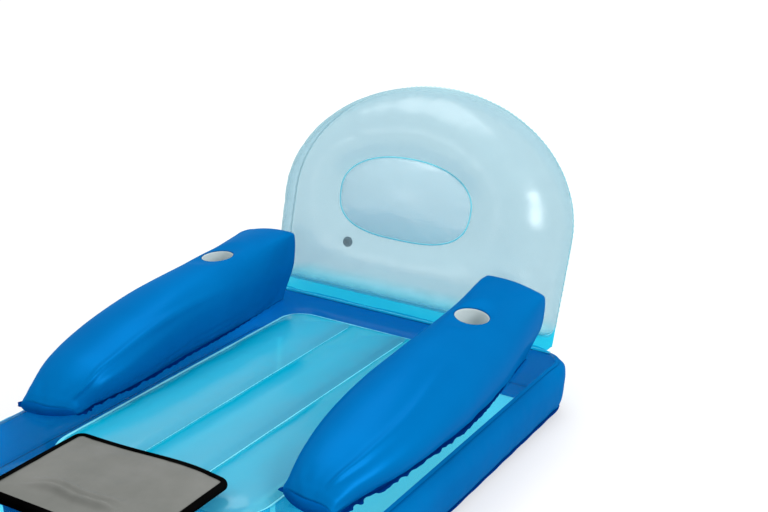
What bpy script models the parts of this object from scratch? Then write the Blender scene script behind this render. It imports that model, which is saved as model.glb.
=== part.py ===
"""Pool air mattress: a welded film lounge with armrests, an arched backrest and a built-in cooler.

The base is a box-like air chamber: a bottom film, a bulging side band and a clear top film that
upright webs hold down along the seat's and the foot panel's welds. Two armrest tubes with cup wells
are welded on top, the backrest stands on the rear seam, and a cooler bag hangs in a mouth in the top
film under a bound, hinged lid. Each chamber has its own stopper valve.

Metres, +Z up, +Y towards the backrest. The origin is the middle of the underside, on the ground.
"""
import math

import bpy
from mathutils import Matrix, Vector
from mathutils.bvhtree import BVHTree
from mathutils.geometry import delaunay_2d_cdt

# Film and clearances
FILM = 0.0010
GAP = 0.0003
CUT_OVERRUN = 0.004

# Base, over its widest points; its length is the sum of what lies along it
BASE_WIDTH = 0.84
BASE_CORNER = 0.100
BOTTOM_SEAM_HEIGHT = 0.018
BOTTOM_SEAM_INSET = 0.010
BOTTOM_FLANGE = 0.004
UNDERSIDE_INSET = 0.055
TOP_SEAM_HEIGHT = 0.118
TOP_SEAM_INSET = 0.0234
SEAM_LIP = 0.008
BAND_FLAT_HEIGHT = 0.036

# Seat and foot panel welds
WELD_HEIGHT = 0.133
SEAT_TO_SIDE = 0.191
SEAT_LENGTH = 0.869
SEAT_TO_REAR = 0.1764
SEAT_REAR_CORNER = 0.055
SEAT_FRONT_CORNER = 0.080
MIDDLE_CHANNEL_WIDTH = 0.1442
CHANNEL_END_GAP = 0.018
FOOT_PANEL_LENGTH = 0.205
FOOT_PANEL_TO_END = 0.165
FOOT_PANEL_TO_MOUTH = 0.0546
FOOT_PANEL_CORNER = 0.050
SEAT_CROWN = 0.018
RING_CROWN = 0.027
WEB_THICKNESS = 0.0010

# Cooler bag and its lid
MOUTH_WIDTH = 0.290
MOUTH_LENGTH = 0.150
MOUTH_CORNER = 0.026
MOUTH_HEIGHT = 0.158
MOUTH_TO_SEAT = 0.040
COOLER_RIM_WIDTH = 0.013
COOLER_DRAFT = 0.006
COOLER_FLOOR_CORNER = 0.009
INSULATION = 0.0040
RIM_BINDING = 0.0020
LID_WIDTH = 0.3404
LID_LENGTH = 0.2554
LID_CORNER = 0.020
LID_REAR_OVERHANG = 0.0924
LID_FOAM = 0.0050
LID_CROWN = 0.0030
BINDING_WIDTH = 0.0095
BINDING_THICKNESS = 0.0010
HINGE_TAPE_WIDTH = 0.280
LID_CROWN_RUN = 0.030

# Armrests
ARM_LENGTH = 0.810
ARM_TO_REAR = 0.160
ARM_SEAT_HEIGHT = 0.148
ARM_FRONT_INSET = 0.117
ARM_MIDDLE_INSET = 0.098
ARM_REAR_INSET = 0.1067
ARM_HALF_WIDTH = 0.100
ARM_HEIGHT = 0.170
ARM_FLANGE = 0.007
CUP_RADIUS = 0.0361
CUP_DEPTH = 0.088
CUP_DRAFT = 0.0030
CUP_FLANGE = 0.0060
CUP_TO_REAR = 0.3697
CUP_SIDE_INSET = 0.1073
CUP_HEIGHT = 0.3086
CUP_OUTWARD_SLOPE = 0.100
CUP_FRONT_SLOPE = 0.060
CUP_FLAT_RADIUS = 0.055
CUP_BLEND_RADIUS = 0.095

# Backrest, measured in its own leaning plane
BACK_LEAN = math.radians(12.55)
BACK_WIDTH = 0.7174
BACK_HEIGHT = 0.5375
BACK_STRAIGHT_HEIGHT = 0.247
BACK_CHAMBER_START = 0.035
BACK_BAND_LOW = 0.0011
BACK_LOWER_CORNER = 0.022
BACK_FLANGE = 0.007
BACK_FRONT_CROWN = 0.150
BACK_REAR_CROWN = 0.070
PILLOW_WIDTH = 0.326
PILLOW_HEIGHT = 0.179
PILLOW_CENTRE_HEIGHT = 0.284
PILLOW_DIP = 0.025
PILLOW_CROWN = 0.026
PILLOW_FLANGE = 0.004

# Stopper valves
VALVE_FLANGE_RADIUS = 0.0130
VALVE_FLANGE_THICKNESS = 0.0012
VALVE_STEM_RADIUS = 0.0068
VALVE_BORE_RADIUS = 0.0050
VALVE_STEM_LENGTH = 0.0120
PLUG_LENGTH = 0.0085
PLUG_CAP_RADIUS = 0.0085
PLUG_CAP_THICKNESS = 0.0016
BASE_VALVE_TO_END = 0.300
BACK_VALVE_SIDE_OFFSET = 0.232
BACK_VALVE_HEIGHT = 0.137

# Shares that shape the inflated films
BAND_LOW_BOW_SHARE = 0.30
BAND_HIGH_BOW_SHARE = 0.34
UNDERSIDE_RUN_SHARE = 0.40
UNDERSIDE_RISE_SHARE = 0.36
LID_RISE_SHARE = 0.75
BACK_RIM_SHARE = 0.45
DIP_REACH_SHARE = 0.45
PILLOW_RIM_SHARE = 0.60
PILLOW_UPPER_CURVE_SHARE = 0.91
PILLOW_LOWER_CURVE_SHARE = 0.71
ARM_SLOPE_SHARES = (0.0, 0.16, 0.13)

# Counts and shares that set how finely the films are faceted
CORNER_STEPS = 7
SEAT_CORNER_STEPS = 5
PANEL_CORNER_STEPS = 4
FILL_STEP_SHARE = 0.625
FILL_ROW_SHARE = 0.57
FILL_CLEAR_SHARE = 0.13
MIDDLE_COLUMN_SHARES = (0.0, 0.5)
CHANNEL_COLUMN_SHARES = (0.25, 0.5, 0.75)
RING_COLUMN_SHARES = (0.18, 0.5, 0.82)
ARM_SIDE_STEPS = 6
ARM_TOP_STEPS = 6
TURNED_STEPS = 28
ARCH_STEPS = 20
BACK_FOOT_STEPS = 7
BACK_CORNER_STEPS = 3
BACK_SIDE_STEPS = 4
BACK_RING_SHARES = (1.0, 0.96, 0.87, 0.72, 0.5, 0.3, 0.14, 0.0)
PILLOW_STEPS = 28
PILLOW_RING_SHARES = (1.0, 0.9, 0.68, 0.35)
VALVE_STEPS = 16

# Share of the armrest's length, then of its half width and of its height above the base film.
# The last number is how square the section is: 1 at the flat ends, 0 where it is round.
ARM_STATION_SHARES = (
    (0.000, 0.47, 0.14, 1.0),
    (0.022, 0.53, 0.22, 0.7),
    (0.060, 0.62, 0.33, 0.35),
    (0.120, 0.76, 0.46, 0.0),
    (0.200, 0.90, 0.58, 0.0),
    (0.310, 0.985, 0.72, 0.0),
    (0.430, 1.00, 0.83, 0.0),
    (0.550, 0.97, 0.90, 0.0),
    (0.650, 0.93, 0.94, 0.0),
    (0.695, 0.91, 0.955, 0.0),
    (0.740, 0.89, 0.97, 0.0),
    (0.785, 0.87, 0.98, 0.0),
    (0.830, 0.84, 0.988, 0.0),
    (0.885, 0.80, 0.99, 0.05),
    (0.940, 0.75, 0.98, 0.35),
    (0.980, 0.72, 0.96, 0.90),
    (1.000, 0.70, 0.95, 1.0),
)
ARM_WIDEST_SHARE = 0.52
ARM_END_BULGE_SHARE = 0.04
ARM_FOOT_ANGLE = math.radians(50.0)
# Half of the squared end, from the foot to the top corner, in shares of its half width and height
ARM_END_SHARES = (
    (0.56, 0.0),
    (0.66, 0.14),
    (0.82, 0.34),
    (0.96, 0.54),
    (1.0, 0.74),
    (0.98, 0.9),
    (0.92, 1.0),
)


def make_material(name, colour, roughness, alpha=1.0):
    """A plain Principled material; the films are see-through, so they carry an alpha."""
    material = bpy.data.materials.new(name)
    material.use_nodes = True
    shader = material.node_tree.nodes["Principled BSDF"]
    shader.inputs["Base Color"].default_value = (*colour, 1.0)
    shader.inputs["Roughness"].default_value = roughness
    shader.inputs["Metallic"].default_value = 0.0
    shader.inputs["Alpha"].default_value = alpha
    return material


def clear_scene():
    for item in list(bpy.data.objects):
        bpy.data.objects.remove(item, do_unlink=True)


def new_collection(name):
    collection = bpy.data.collections.new(name)
    bpy.context.scene.collection.children.link(collection)
    return collection


clear_scene()
PARTS = new_collection("pool_air_mattress")
CUTTERS = new_collection("cutters")

CLEAR_BLUE = make_material("clear_turquoise_film", (0.08, 0.62, 0.80), 0.12, 0.45)
ROYAL_BLUE = make_material("royal_blue_film", (0.0, 0.15, 0.52), 0.30)
PALE_FILM = make_material("pale_film", (0.55, 0.80, 0.88), 0.30, 0.6)
BACK_FILM = make_material("pale_backrest_film", (0.45, 0.74, 0.84), 0.12, 0.45)
CUP_WHITE = make_material("cup_well_film", (0.50, 0.50, 0.48), 0.45)
LID_GREY = make_material("lid_fabric", (0.24, 0.24, 0.22), 0.55)
BINDING_BLACK = make_material("binding_tape", (0.01, 0.01, 0.01), 0.80)
FOIL = make_material("foil_lining", (0.60, 0.61, 0.62), 0.30)
FOAM_WHITE = make_material("foam", (0.80, 0.80, 0.78), 0.90)
VALVE_TINT = make_material("valve_vinyl", (0.10, 0.22, 0.28), 0.35)


def add_object(name, vertices, faces, material, parent=None, collection=PARTS):
    """Make a smooth-shaded mesh object from computed points."""
    mesh = bpy.data.meshes.new(name)
    mesh.from_pydata([tuple(v) for v in vertices], [], faces)
    mesh.validate()
    mesh.materials.append(material)
    mesh.shade_smooth()
    mesh.set_sharp_from_angle(angle=math.radians(35.0))
    item = bpy.data.objects.new(name, mesh)
    collection.objects.link(item)
    item.parent = parent
    return item


def add_empty(name, location, rotation=(0.0, 0.0, 0.0), parent=None):
    """A joint's or a tilted piece's frame."""
    empty = bpy.data.objects.new(name, None)
    empty.location = location
    empty.rotation_euler = rotation
    empty.parent = parent
    PARTS.objects.link(empty)
    return empty


def give_thickness(item, thickness=FILM, offset=-1.0):
    """Turn an open film into a closed solid, away from its outer face."""
    solidify = item.modifiers.new("film", "SOLIDIFY")
    solidify.thickness = thickness
    solidify.offset = offset
    solidify.use_even_offset = True
    solidify.thickness_clamp = 0.0
    return item


def cut(item, cutter):
    """Subtract a guide object from a piece."""
    cutter.hide_render = True
    cutter.display_type = "WIRE"
    boolean = item.modifiers.new("cut", "BOOLEAN")
    boolean.operation = "DIFFERENCE"
    boolean.solver = "EXACT"
    boolean.object = cutter


def cylinder_cutter(name, radius, height, matrix, parent=None):
    """An upright prism of many sides round its own origin, placed by a matrix."""
    bpy.ops.mesh.primitive_cylinder_add(vertices=TURNED_STEPS, radius=radius, depth=height)
    cutter = bpy.context.object
    cutter.name = name
    for collection in list(cutter.users_collection):
        collection.objects.unlink(cutter)
    CUTTERS.objects.link(cutter)
    cutter.parent = parent
    cutter.matrix_parent_inverse = Matrix.Identity(4)
    cutter.matrix_basis = matrix
    return cutter


def turned(name, profile, material, matrix, parent=None, ring=False, steps=TURNED_STEPS):
    """Turn a profile of (radius, height) points about the local Z axis with a Screw modifier."""
    mesh = bpy.data.meshes.new(name)
    points = [(radius, 0.0, height) for radius, height in profile]
    edges = [(i, i + 1) for i in range(len(points) - 1)]
    if ring:
        edges.append((len(points) - 1, 0))
    mesh.from_pydata(points, edges, [])
    mesh.materials.append(material)
    item = bpy.data.objects.new(name, mesh)
    PARTS.objects.link(item)
    item.parent = parent
    item.matrix_basis = matrix
    screw = item.modifiers.new("turn", "SCREW")
    screw.steps = steps
    screw.render_steps = steps
    screw.use_merge_vertices = True
    screw.merge_threshold = 0.00001
    screw.use_smooth_shade = True
    return item


def rounded_rectangle(half_width, low, high, low_radius, high_radius=None, steps=CORNER_STEPS):
    """Plan points of a rounded rectangle, counter-clockwise from the right-hand low corner."""
    high_radius = low_radius if high_radius is None else high_radius
    corners = (
        (half_width - low_radius, low + low_radius, low_radius, -90.0),
        (half_width - high_radius, high - high_radius, high_radius, 0.0),
        (high_radius - half_width, high - high_radius, high_radius, 90.0),
        (low_radius - half_width, low + low_radius, low_radius, 180.0),
    )
    points = []
    for x, y, radius, start in corners:
        for step in range(steps + 1):
            angle = math.radians(start + 90.0 * step / steps)
            points.append((x + radius * math.cos(angle), y + radius * math.sin(angle)))
    return points


def base_outline(inset, steps=CORNER_STEPS):
    """The base's plan outline, drawn in from its widest line by an inset."""
    half_length = BASE_LENGTH / 2 - inset
    corner = BASE_CORNER - inset
    return rounded_rectangle(BASE_WIDTH / 2 - inset, -half_length, half_length, corner, steps=steps)


def loft(loops, closed=True, cap_last=False):
    """Join rings of equal count; the faces' normals follow the rings' turn and order."""
    count = len(loops[0])
    vertices = [point for loop in loops for point in loop]
    faces = []
    spans = count if closed else count - 1
    for row in range(len(loops) - 1):
        for i in range(spans):
            j = (i + 1) % count
            a, b = row * count + i, row * count + j
            faces.append((a, b, b + count, a + count))
    if cap_last:
        start = (len(loops) - 1) * count
        faces.append(tuple(range(start, start + count)))
    return vertices, faces


def flipped(faces):
    return [tuple(reversed(face)) for face in faces]


def at_height(points, height):
    return [(x, y, height) for x, y in points]


def distance_to(point, line, closed=True):
    """Least plan distance from a point to a polyline."""
    x, y = point
    best = math.inf
    last = len(line) if closed else len(line) - 1
    for i in range(last):
        ax, ay = line[i]
        bx, by = line[(i + 1) % len(line)]
        dx, dy = bx - ax, by - ay
        run = dx * dx + dy * dy
        share = max(0.0, min(1.0, ((x - ax) * dx + (y - ay) * dy) / run)) if run else 0.0
        best = min(best, math.hypot(x - ax - share * dx, y - ay - share * dy))
    return best


def is_inside(point, loop):
    """Whether a plan point lies inside a closed polyline."""
    x, y = point
    inside = False
    for i in range(len(loop)):
        ax, ay = loop[i]
        bx, by = loop[i - 1]
        if (ay > y) != (by > y) and x < (bx - ax) * (y - ay) / (by - ay) + ax:
            inside = not inside
    return inside


# Places that several pieces share
BASE_LENGTH = FOOT_PANEL_TO_END + FOOT_PANEL_LENGTH + FOOT_PANEL_TO_MOUTH
BASE_LENGTH += MOUTH_LENGTH + MOUTH_TO_SEAT + SEAT_LENGTH + SEAT_TO_REAR
HALF_LENGTH = BASE_LENGTH / 2
HALF_WIDTH = BASE_WIDTH / 2
SEAT_WIDTH = BASE_WIDTH - 2 * SEAT_TO_SIDE
SEAT_REAR = HALF_LENGTH - SEAT_TO_REAR
SEAT_FRONT = SEAT_REAR - SEAT_LENGTH
MOUTH_REAR = SEAT_FRONT - MOUTH_TO_SEAT
MOUTH_FRONT = MOUTH_REAR - MOUTH_LENGTH
FOOT_FRONT = FOOT_PANEL_TO_END - HALF_LENGTH
FOOT_REAR = FOOT_FRONT + FOOT_PANEL_LENGTH
TOP_MARGIN_HEIGHT = TOP_SEAM_HEIGHT + GAP + FILM
RING_WIDTH = SEAT_TO_SIDE - TOP_SEAM_INSET - SEAM_LIP
CHANNEL_WIDTH = (SEAT_WIDTH - MIDDLE_CHANNEL_WIDTH) / 2

SEAT_LOOP = rounded_rectangle(
    SEAT_WIDTH / 2, SEAT_FRONT, SEAT_REAR, SEAT_FRONT_CORNER, SEAT_REAR_CORNER, SEAT_CORNER_STEPS
)
FOOT_LOOP = rounded_rectangle(
    SEAT_WIDTH / 2, FOOT_FRONT, FOOT_REAR, FOOT_PANEL_CORNER, steps=PANEL_CORNER_STEPS
)


def mouth_loop(outset):
    """The cooler's mouth, grown outwards by an outset."""
    low, high = MOUTH_FRONT - outset, MOUTH_REAR + outset
    corner = MOUTH_CORNER + outset
    return rounded_rectangle(MOUTH_WIDTH / 2 + outset, low, high, corner, steps=PANEL_CORNER_STEPS)


def channel_lines():
    """The open weld lines between the channels of the seat and of the foot panel."""
    lines = []
    for low, high in ((SEAT_FRONT, SEAT_REAR), (FOOT_FRONT, FOOT_REAR)):
        for side in (-1, 1):
            x = side * MIDDLE_CHANNEL_WIDTH / 2
            start, end = low + CHANNEL_END_GAP, high - CHANNEL_END_GAP
            count = max(2, round((end - start) / CHANNEL_WIDTH) + 1)
            lines.append([(x, start + (end - start) * i / (count - 1)) for i in range(count)])
    return lines


CHANNEL_LINES = channel_lines()


def inflated(distance, half_span):
    """Share of the full crown at a distance from the nearest weld."""
    return 1.0 - (1.0 - min(distance / half_span, 1.0)) ** 2


def top_film_height(x, y, margin, rim):
    """Height of the top film's upper face: low along its welds and crowned between them."""
    point = (x, y)
    to_margin = distance_to(point, margin)
    if not is_inside(point, margin):
        to_margin = 0.0
    to_rim = distance_to(point, rim)
    if is_inside(point, rim):
        to_rim = 0.0
    if to_margin < GAP:
        return TOP_MARGIN_HEIGHT
    if to_rim < GAP:
        return MOUTH_HEIGHT
    in_panel = is_inside(point, SEAT_LOOP) or is_inside(point, FOOT_LOOP)
    to_panel = min(distance_to(point, SEAT_LOOP), distance_to(point, FOOT_LOOP))
    if to_panel < GAP:
        return WELD_HEIGHT
    if in_panel:
        to_line = min(distance_to(point, line, closed=False) for line in CHANNEL_LINES)
        return WELD_HEIGHT + SEAT_CROWN * inflated(min(to_panel, to_line), CHANNEL_WIDTH / 2)
    weights = [1.0 / distance**2 for distance in (to_margin, to_panel, to_rim)]
    levels = (TOP_MARGIN_HEIGHT, WELD_HEIGHT, MOUTH_HEIGHT)
    weld_level = sum(w * level for w, level in zip(weights, levels)) / sum(weights)
    nearest = min(to_margin, to_panel, to_rim)
    height = weld_level + RING_CROWN * inflated(nearest, RING_WIDTH / 2)
    return min(height, max(ARM_SEAT_HEIGHT, weld_level))


def spaced(loop):
    """The same closed line with its long straight runs parted, so that triangles stay even."""
    points = []
    for i, (x, y) in enumerate(loop):
        nx, ny = loop[(i + 1) % len(loop)]
        parts = max(1, round(math.hypot(nx - x, ny - y) / (CHANNEL_WIDTH * FILL_STEP_SHARE)))
        points += [(x + (nx - x) * k / parts, y + (ny - y) * k / parts) for k in range(parts)]
    return points


def top_film():
    """The clear top film: its welds' plan lines, filled with triangles and raised by the air."""
    edge = base_outline(TOP_SEAM_INSET)
    margin = base_outline(TOP_SEAM_INSET + SEAM_LIP)
    mouth = mouth_loop(0.0)
    rim = mouth_loop(COOLER_RIM_WIDTH)
    loops = [edge, spaced(margin), spaced(SEAT_LOOP), spaced(FOOT_LOOP), mouth, rim]
    points, edges = [], []
    for loop in loops:
        start = len(points)
        points += loop
        edges += [(start + i, start + (i + 1) % len(loop)) for i in range(len(loop))]
    for line in CHANNEL_LINES:
        start = len(points)
        points += line
        edges += [(start + i, start + i + 1) for i in range(len(line) - 1)]
    half_seat = SEAT_WIDTH / 2
    half_middle = MIDDLE_CHANNEL_WIDTH / 2
    columns = [half_middle * share for share in MIDDLE_COLUMN_SHARES]
    columns += [half_middle + CHANNEL_WIDTH * share for share in CHANNEL_COLUMN_SHARES]
    columns += [half_seat + RING_WIDTH * share for share in RING_COLUMN_SHARES]
    rows = round(BASE_LENGTH / (CHANNEL_WIDTH * FILL_ROW_SHARE))
    clear = RING_WIDTH * FILL_CLEAR_SHARE
    for row in range(1, rows):
        y = -HALF_LENGTH + BASE_LENGTH * row / rows
        for x in sorted({side * column for column in columns for side in (-1, 1)}):
            apart = min(distance_to((x, y), loop) for loop in loops)
            apart = min(apart, min(distance_to((x, y), line, False) for line in CHANNEL_LINES))
            if apart > clear and is_inside((x, y), margin) and not is_inside((x, y), rim):
                points.append((x, y))
    plan = [Vector(point) for point in points]
    vertices, _, faces, *_ = delaunay_2d_cdt(plan, edges, [], 0, GAP / 100)
    kept = []
    for face in faces:
        middle = sum((vertices[i] for i in face), Vector((0.0, 0.0))) / len(face)
        if is_inside(middle, edge) and not is_inside(middle, mouth):
            kept.append(tuple(face))
    raised = [(v.x, v.y, top_film_height(v.x, v.y, margin, rim)) for v in vertices]
    return give_thickness(add_object("top_film", raised, kept, CLEAR_BLUE))


def side_band():
    """The bulging side band, from its lip on the bottom seam to its lip under the top film."""
    flat_low = (BOTTOM_SEAM_HEIGHT + TOP_SEAM_HEIGHT - BAND_FLAT_HEIGHT) / 2
    flat_high = flat_low + BAND_FLAT_HEIGHT
    profile = (
        (BOTTOM_SEAM_INSET + SEAM_LIP, BOTTOM_SEAM_HEIGHT),
        (BOTTOM_SEAM_INSET, BOTTOM_SEAM_HEIGHT),
        (BOTTOM_SEAM_INSET * BAND_LOW_BOW_SHARE, (BOTTOM_SEAM_HEIGHT + flat_low) / 2),
        (0.0, flat_low),
        (0.0, flat_high),
        (TOP_SEAM_INSET * BAND_HIGH_BOW_SHARE, (flat_high + TOP_SEAM_HEIGHT) / 2),
        (TOP_SEAM_INSET, TOP_SEAM_HEIGHT),
        (TOP_SEAM_INSET + SEAM_LIP, TOP_SEAM_HEIGHT),
    )
    loops = [at_height(base_outline(inset), height) for inset, height in profile]
    vertices, faces = loft(loops)
    band = give_thickness(add_object("side_band", vertices, faces, ROYAL_BLUE))
    middle = flat_low + BAND_FLAT_HEIGHT / 2
    place = Matrix.Translation((-BASE_WIDTH / 2, BASE_VALVE_TO_END - HALF_LENGTH, middle))
    frame = place @ Matrix.Rotation(math.radians(-90.0), 4, "Y")
    cut(band, cylinder_cutter("base_valve_hole", VALVE_STEM_RADIUS + GAP, CUT_OVERRUN * 2, frame))
    valve("base", frame)
    return band


def bottom_film():
    """The bottom film: a flange under the band, a short rise and the flat that it rests on."""
    inner = BOTTOM_SEAM_INSET + SEAM_LIP
    top = BOTTOM_SEAM_HEIGHT - GAP
    run = UNDERSIDE_INSET - inner
    bend = FILM + (top - FILM) * UNDERSIDE_RISE_SHARE
    loops = [
        at_height(base_outline(BOTTOM_SEAM_INSET - BOTTOM_FLANGE), top),
        at_height(base_outline(inner), top),
        at_height(base_outline(inner + run * UNDERSIDE_RUN_SHARE), bend),
        at_height(base_outline(inner + run), FILM),
    ]
    vertices, faces = loft(loops, cap_last=True)
    return give_thickness(add_object("bottom_film", vertices, faces, PALE_FILM))


def upright_web(name, line, closed=False):
    """A film wall from the bottom film up to a weld of the top film."""
    low = FILM + GAP
    high = WELD_HEIGHT - FILM - WEB_THICKNESS / 2 - GAP
    vertices, faces = loft([at_height(line, low), at_height(line, high)], closed=closed)
    return give_thickness(add_object(name, vertices, faces, CLEAR_BLUE), WEB_THICKNESS, 0.0)


def panel_webs(name, loop, steps, gap):
    """Four walls round a welded panel, parted so that air passes between them."""
    count = steps + 1
    corners = [loop[i * count:(i + 1) * count] for i in range(4)]
    front = corners[3] + corners[0]
    rear = corners[1] + corners[2]
    for label, line in (("front", front), ("rear", rear)):
        upright_web(f"{name}_web_{label}", line)
    right = (corners[0][-1], corners[1][0])
    left = (corners[2][-1], corners[3][0])
    for label, ends in (("right", right), ("left", left)):
        (x, y0), (_, y1) = ends
        way = 1 if y1 > y0 else -1
        upright_web(f"{name}_web_{label}", [(x, y0 + way * gap), (x, y1 - way * gap)])


def channel_webs():
    places = ("seat_channel_web_left", "seat_channel_web_right")
    places += ("foot_channel_web_left", "foot_channel_web_right")
    for name, line in zip(places, CHANNEL_LINES):
        upright_web(name, [line[0], line[-1]])


def tub(name, material, thickness, outset, flange_width, flange_height, floor_height):
    """A bag with an open top: an outer flange, walls that draw in, and a flat floor."""
    loops = []
    if flange_width > 0.0:
        loops.append(at_height(mouth_loop(flange_width), flange_height))
    loops.append(at_height(mouth_loop(outset), flange_height))
    loops.append(at_height(mouth_loop(outset - COOLER_DRAFT), floor_height + COOLER_FLOOR_CORNER))
    loops.append(at_height(mouth_loop(outset - COOLER_DRAFT - COOLER_FLOOR_CORNER), floor_height))
    vertices, faces = loft(loops, cap_last=True)
    return give_thickness(add_object(name, vertices, faces, material), thickness, -1.0)


def cooler():
    """Shell, foam and foil hung in the mouth one in another, and the black binding on their rim."""
    flange = COOLER_RIM_WIDTH - GAP
    shell_top = MOUTH_HEIGHT + GAP + FILM
    shell_outset = -(FILM + GAP)
    shell_floor = FILM + GAP + FILM
    tub("cooler_shell", ROYAL_BLUE, FILM, shell_outset, flange, shell_top, shell_floor)
    foam_outset = shell_outset - GAP - INSULATION
    foam_floor = shell_floor + GAP + INSULATION
    tub("cooler_insulation", FOAM_WHITE, INSULATION, foam_outset, 0.0, shell_top, foam_floor)
    liner_top = shell_top + GAP + FILM
    liner_outset = foam_outset - GAP - FILM
    tub("cooler_liner", FOIL, FILM, liner_outset, flange, liner_top, foam_floor + GAP + FILM)
    low, high = liner_top + GAP, liner_top + GAP + RIM_BINDING
    rings = [(liner_outset + BINDING_THICKNESS, low), (COOLER_RIM_WIDTH, low), (COOLER_RIM_WIDTH, high)]
    rings.append((liner_outset + BINDING_THICKNESS, high))
    rings.append(rings[0])
    loops = [at_height(mouth_loop(outset), height) for outset, height in rings]
    closed_band("cooler_rim_binding", loops, BINDING_BLACK)
    return high


def closed_band(name, loops, material, parent=None):
    """A solid ring whose section is a closed polygon; the last loop repeats the first."""
    count = len(loops[0])
    vertices, faces = loft(loops)
    total = count * (len(loops) - 1)
    faces = [tuple(i % total for i in face) for face in faces]
    return add_object(name, vertices[:total], faces, material, parent)


def lid_outline(inset):
    """The lid's outline about its own hinge line, which is the local X axis."""
    corner = max(LID_CORNER - inset, BINDING_THICKNESS)
    return rounded_rectangle(
        LID_WIDTH / 2 - inset, inset, LID_LENGTH - inset, corner, steps=PANEL_CORNER_STEPS
    )


def lid(rim_top):
    """The bound lid on a hinge tape along its foot edge: fabric, foam and foil in a binding.

    It turns about the upper edge of its binding, where the tape is sewn on.
    """
    base = rim_top + GAP
    hinge_y = MOUTH_REAR + LID_REAR_OVERHANG - LID_LENGTH
    lid_frame = add_empty("lid_hinge", (0.0, hinge_y, base))
    low = BINDING_THICKNESS + GAP
    inset = BINDING_THICKNESS + GAP

    slab("cooler_lid_lining", lid_outline(inset), low, low + FILM, FOIL, lid_frame)
    foam_low = low + FILM + GAP
    foam_high = foam_low + LID_FOAM
    slab("cooler_lid_foam", lid_outline(inset), foam_low, foam_high, FOAM_WHITE, lid_frame)
    cover_low = foam_high + GAP
    edge = BINDING_WIDTH + GAP
    steps_in = [(inset, 0.0), (edge, 0.0)]
    steps_in += [(edge + LID_CROWN_RUN / 2, LID_RISE_SHARE), (edge + LID_CROWN_RUN, 1.0)]
    loops = [at_height(lid_outline(d), cover_low + FILM + LID_CROWN * rise) for d, rise in steps_in]
    vertices, faces = loft(loops, cap_last=True)
    give_thickness(add_object("cooler_lid_cover", vertices, faces, LID_GREY, lid_frame))

    top = cover_low + FILM + GAP + BINDING_THICKNESS
    section = (
        (BINDING_WIDTH, 0.0),
        (0.0, 0.0),
        (0.0, top),
        (BINDING_WIDTH, top),
        (BINDING_WIDTH, top - BINDING_THICKNESS),
        (BINDING_THICKNESS, top - BINDING_THICKNESS),
        (BINDING_THICKNESS, BINDING_THICKNESS),
        (BINDING_WIDTH, BINDING_THICKNESS),
        (BINDING_WIDTH, 0.0),
    )
    loops = [at_height(lid_outline(d), z) for d, z in section]
    closed_band("cooler_lid_binding", loops, BINDING_BLACK, lid_frame)
    hinge_tape(hinge_y, rim_top - RIM_BINDING, base + top - GAP)


def hinge_tape(hinge_y, low, high):
    """The tape that joins the lid's foot edge to the rim."""
    near, far = hinge_y - GAP, hinge_y - GAP - BINDING_THICKNESS
    half = HINGE_TAPE_WIDTH / 2
    outline = [(-half, far), (half, far), (half, near), (-half, near)]
    slab("cooler_hinge_tape", outline, low, high, BINDING_BLACK)


def slab(name, outline, low, high, material, parent=None):
    """A flat plate with a given plan outline."""
    count = len(outline)
    vertices = at_height(outline, low) + at_height(outline, high)
    faces = [tuple(range(count))[::-1], tuple(range(count, 2 * count))]
    faces += [(i, (i + 1) % count, count + (i + 1) % count, count + i) for i in range(count)]
    return add_object(name, vertices, faces, material, parent)


def valve(name, frame, parent=None):
    """A stopper valve: a flanged stem through the film, and its plug. The frame's Z points outwards."""
    top = GAP + VALVE_FLANGE_THICKNESS
    body = (
        (VALVE_FLANGE_RADIUS, top),
        (VALVE_FLANGE_RADIUS, GAP),
        (VALVE_STEM_RADIUS, GAP),
        (VALVE_STEM_RADIUS, -VALVE_STEM_LENGTH),
        (VALVE_BORE_RADIUS, -VALVE_STEM_LENGTH),
        (VALVE_BORE_RADIUS, top),
    )
    turned(f"{name}_valve_body", body, VALVE_TINT, frame, parent, ring=True, steps=VALVE_STEPS)
    seat = top + GAP
    plug_radius = VALVE_BORE_RADIUS - GAP
    plug = (
        (0.0, seat + PLUG_CAP_THICKNESS),
        (PLUG_CAP_RADIUS, seat + PLUG_CAP_THICKNESS),
        (PLUG_CAP_RADIUS, seat),
        (plug_radius, seat),
        (plug_radius, seat - PLUG_LENGTH),
        (0.0, seat - PLUG_LENGTH),
    )
    turned(f"{name}_valve_plug", plug, VALVE_TINT, frame, parent, steps=VALVE_STEPS)


ARM_FRONT = HALF_LENGTH - ARM_TO_REAR - ARM_LENGTH
CUP_X = HALF_WIDTH - CUP_SIDE_INSET
CUP_Y = HALF_LENGTH - CUP_TO_REAR
ARM_OFFSETS = [HALF_WIDTH - inset for inset in (ARM_FRONT_INSET, ARM_MIDDLE_INSET, ARM_REAR_INSET)]
ARM_BASE_TOP = ARM_SEAT_HEIGHT + GAP + FILM
ARM_SKIN_FOOT = ARM_BASE_TOP + GAP + FILM


def arm_round_share(index):
    """A point of the round section, in shares of its half width and height, from the outer foot."""
    count = 2 * ARM_SIDE_STEPS + ARM_TOP_STEPS
    angle = -ARM_FOOT_ANGLE + (math.pi + 2 * ARM_FOOT_ANGLE) * index / count
    upper = 0.0 < angle < math.pi
    rise = 1.0 - ARM_WIDEST_SHARE if upper else ARM_WIDEST_SHARE / math.sin(ARM_FOOT_ANGLE)
    return math.cos(angle), ARM_WIDEST_SHARE + rise * math.sin(angle)


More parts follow.
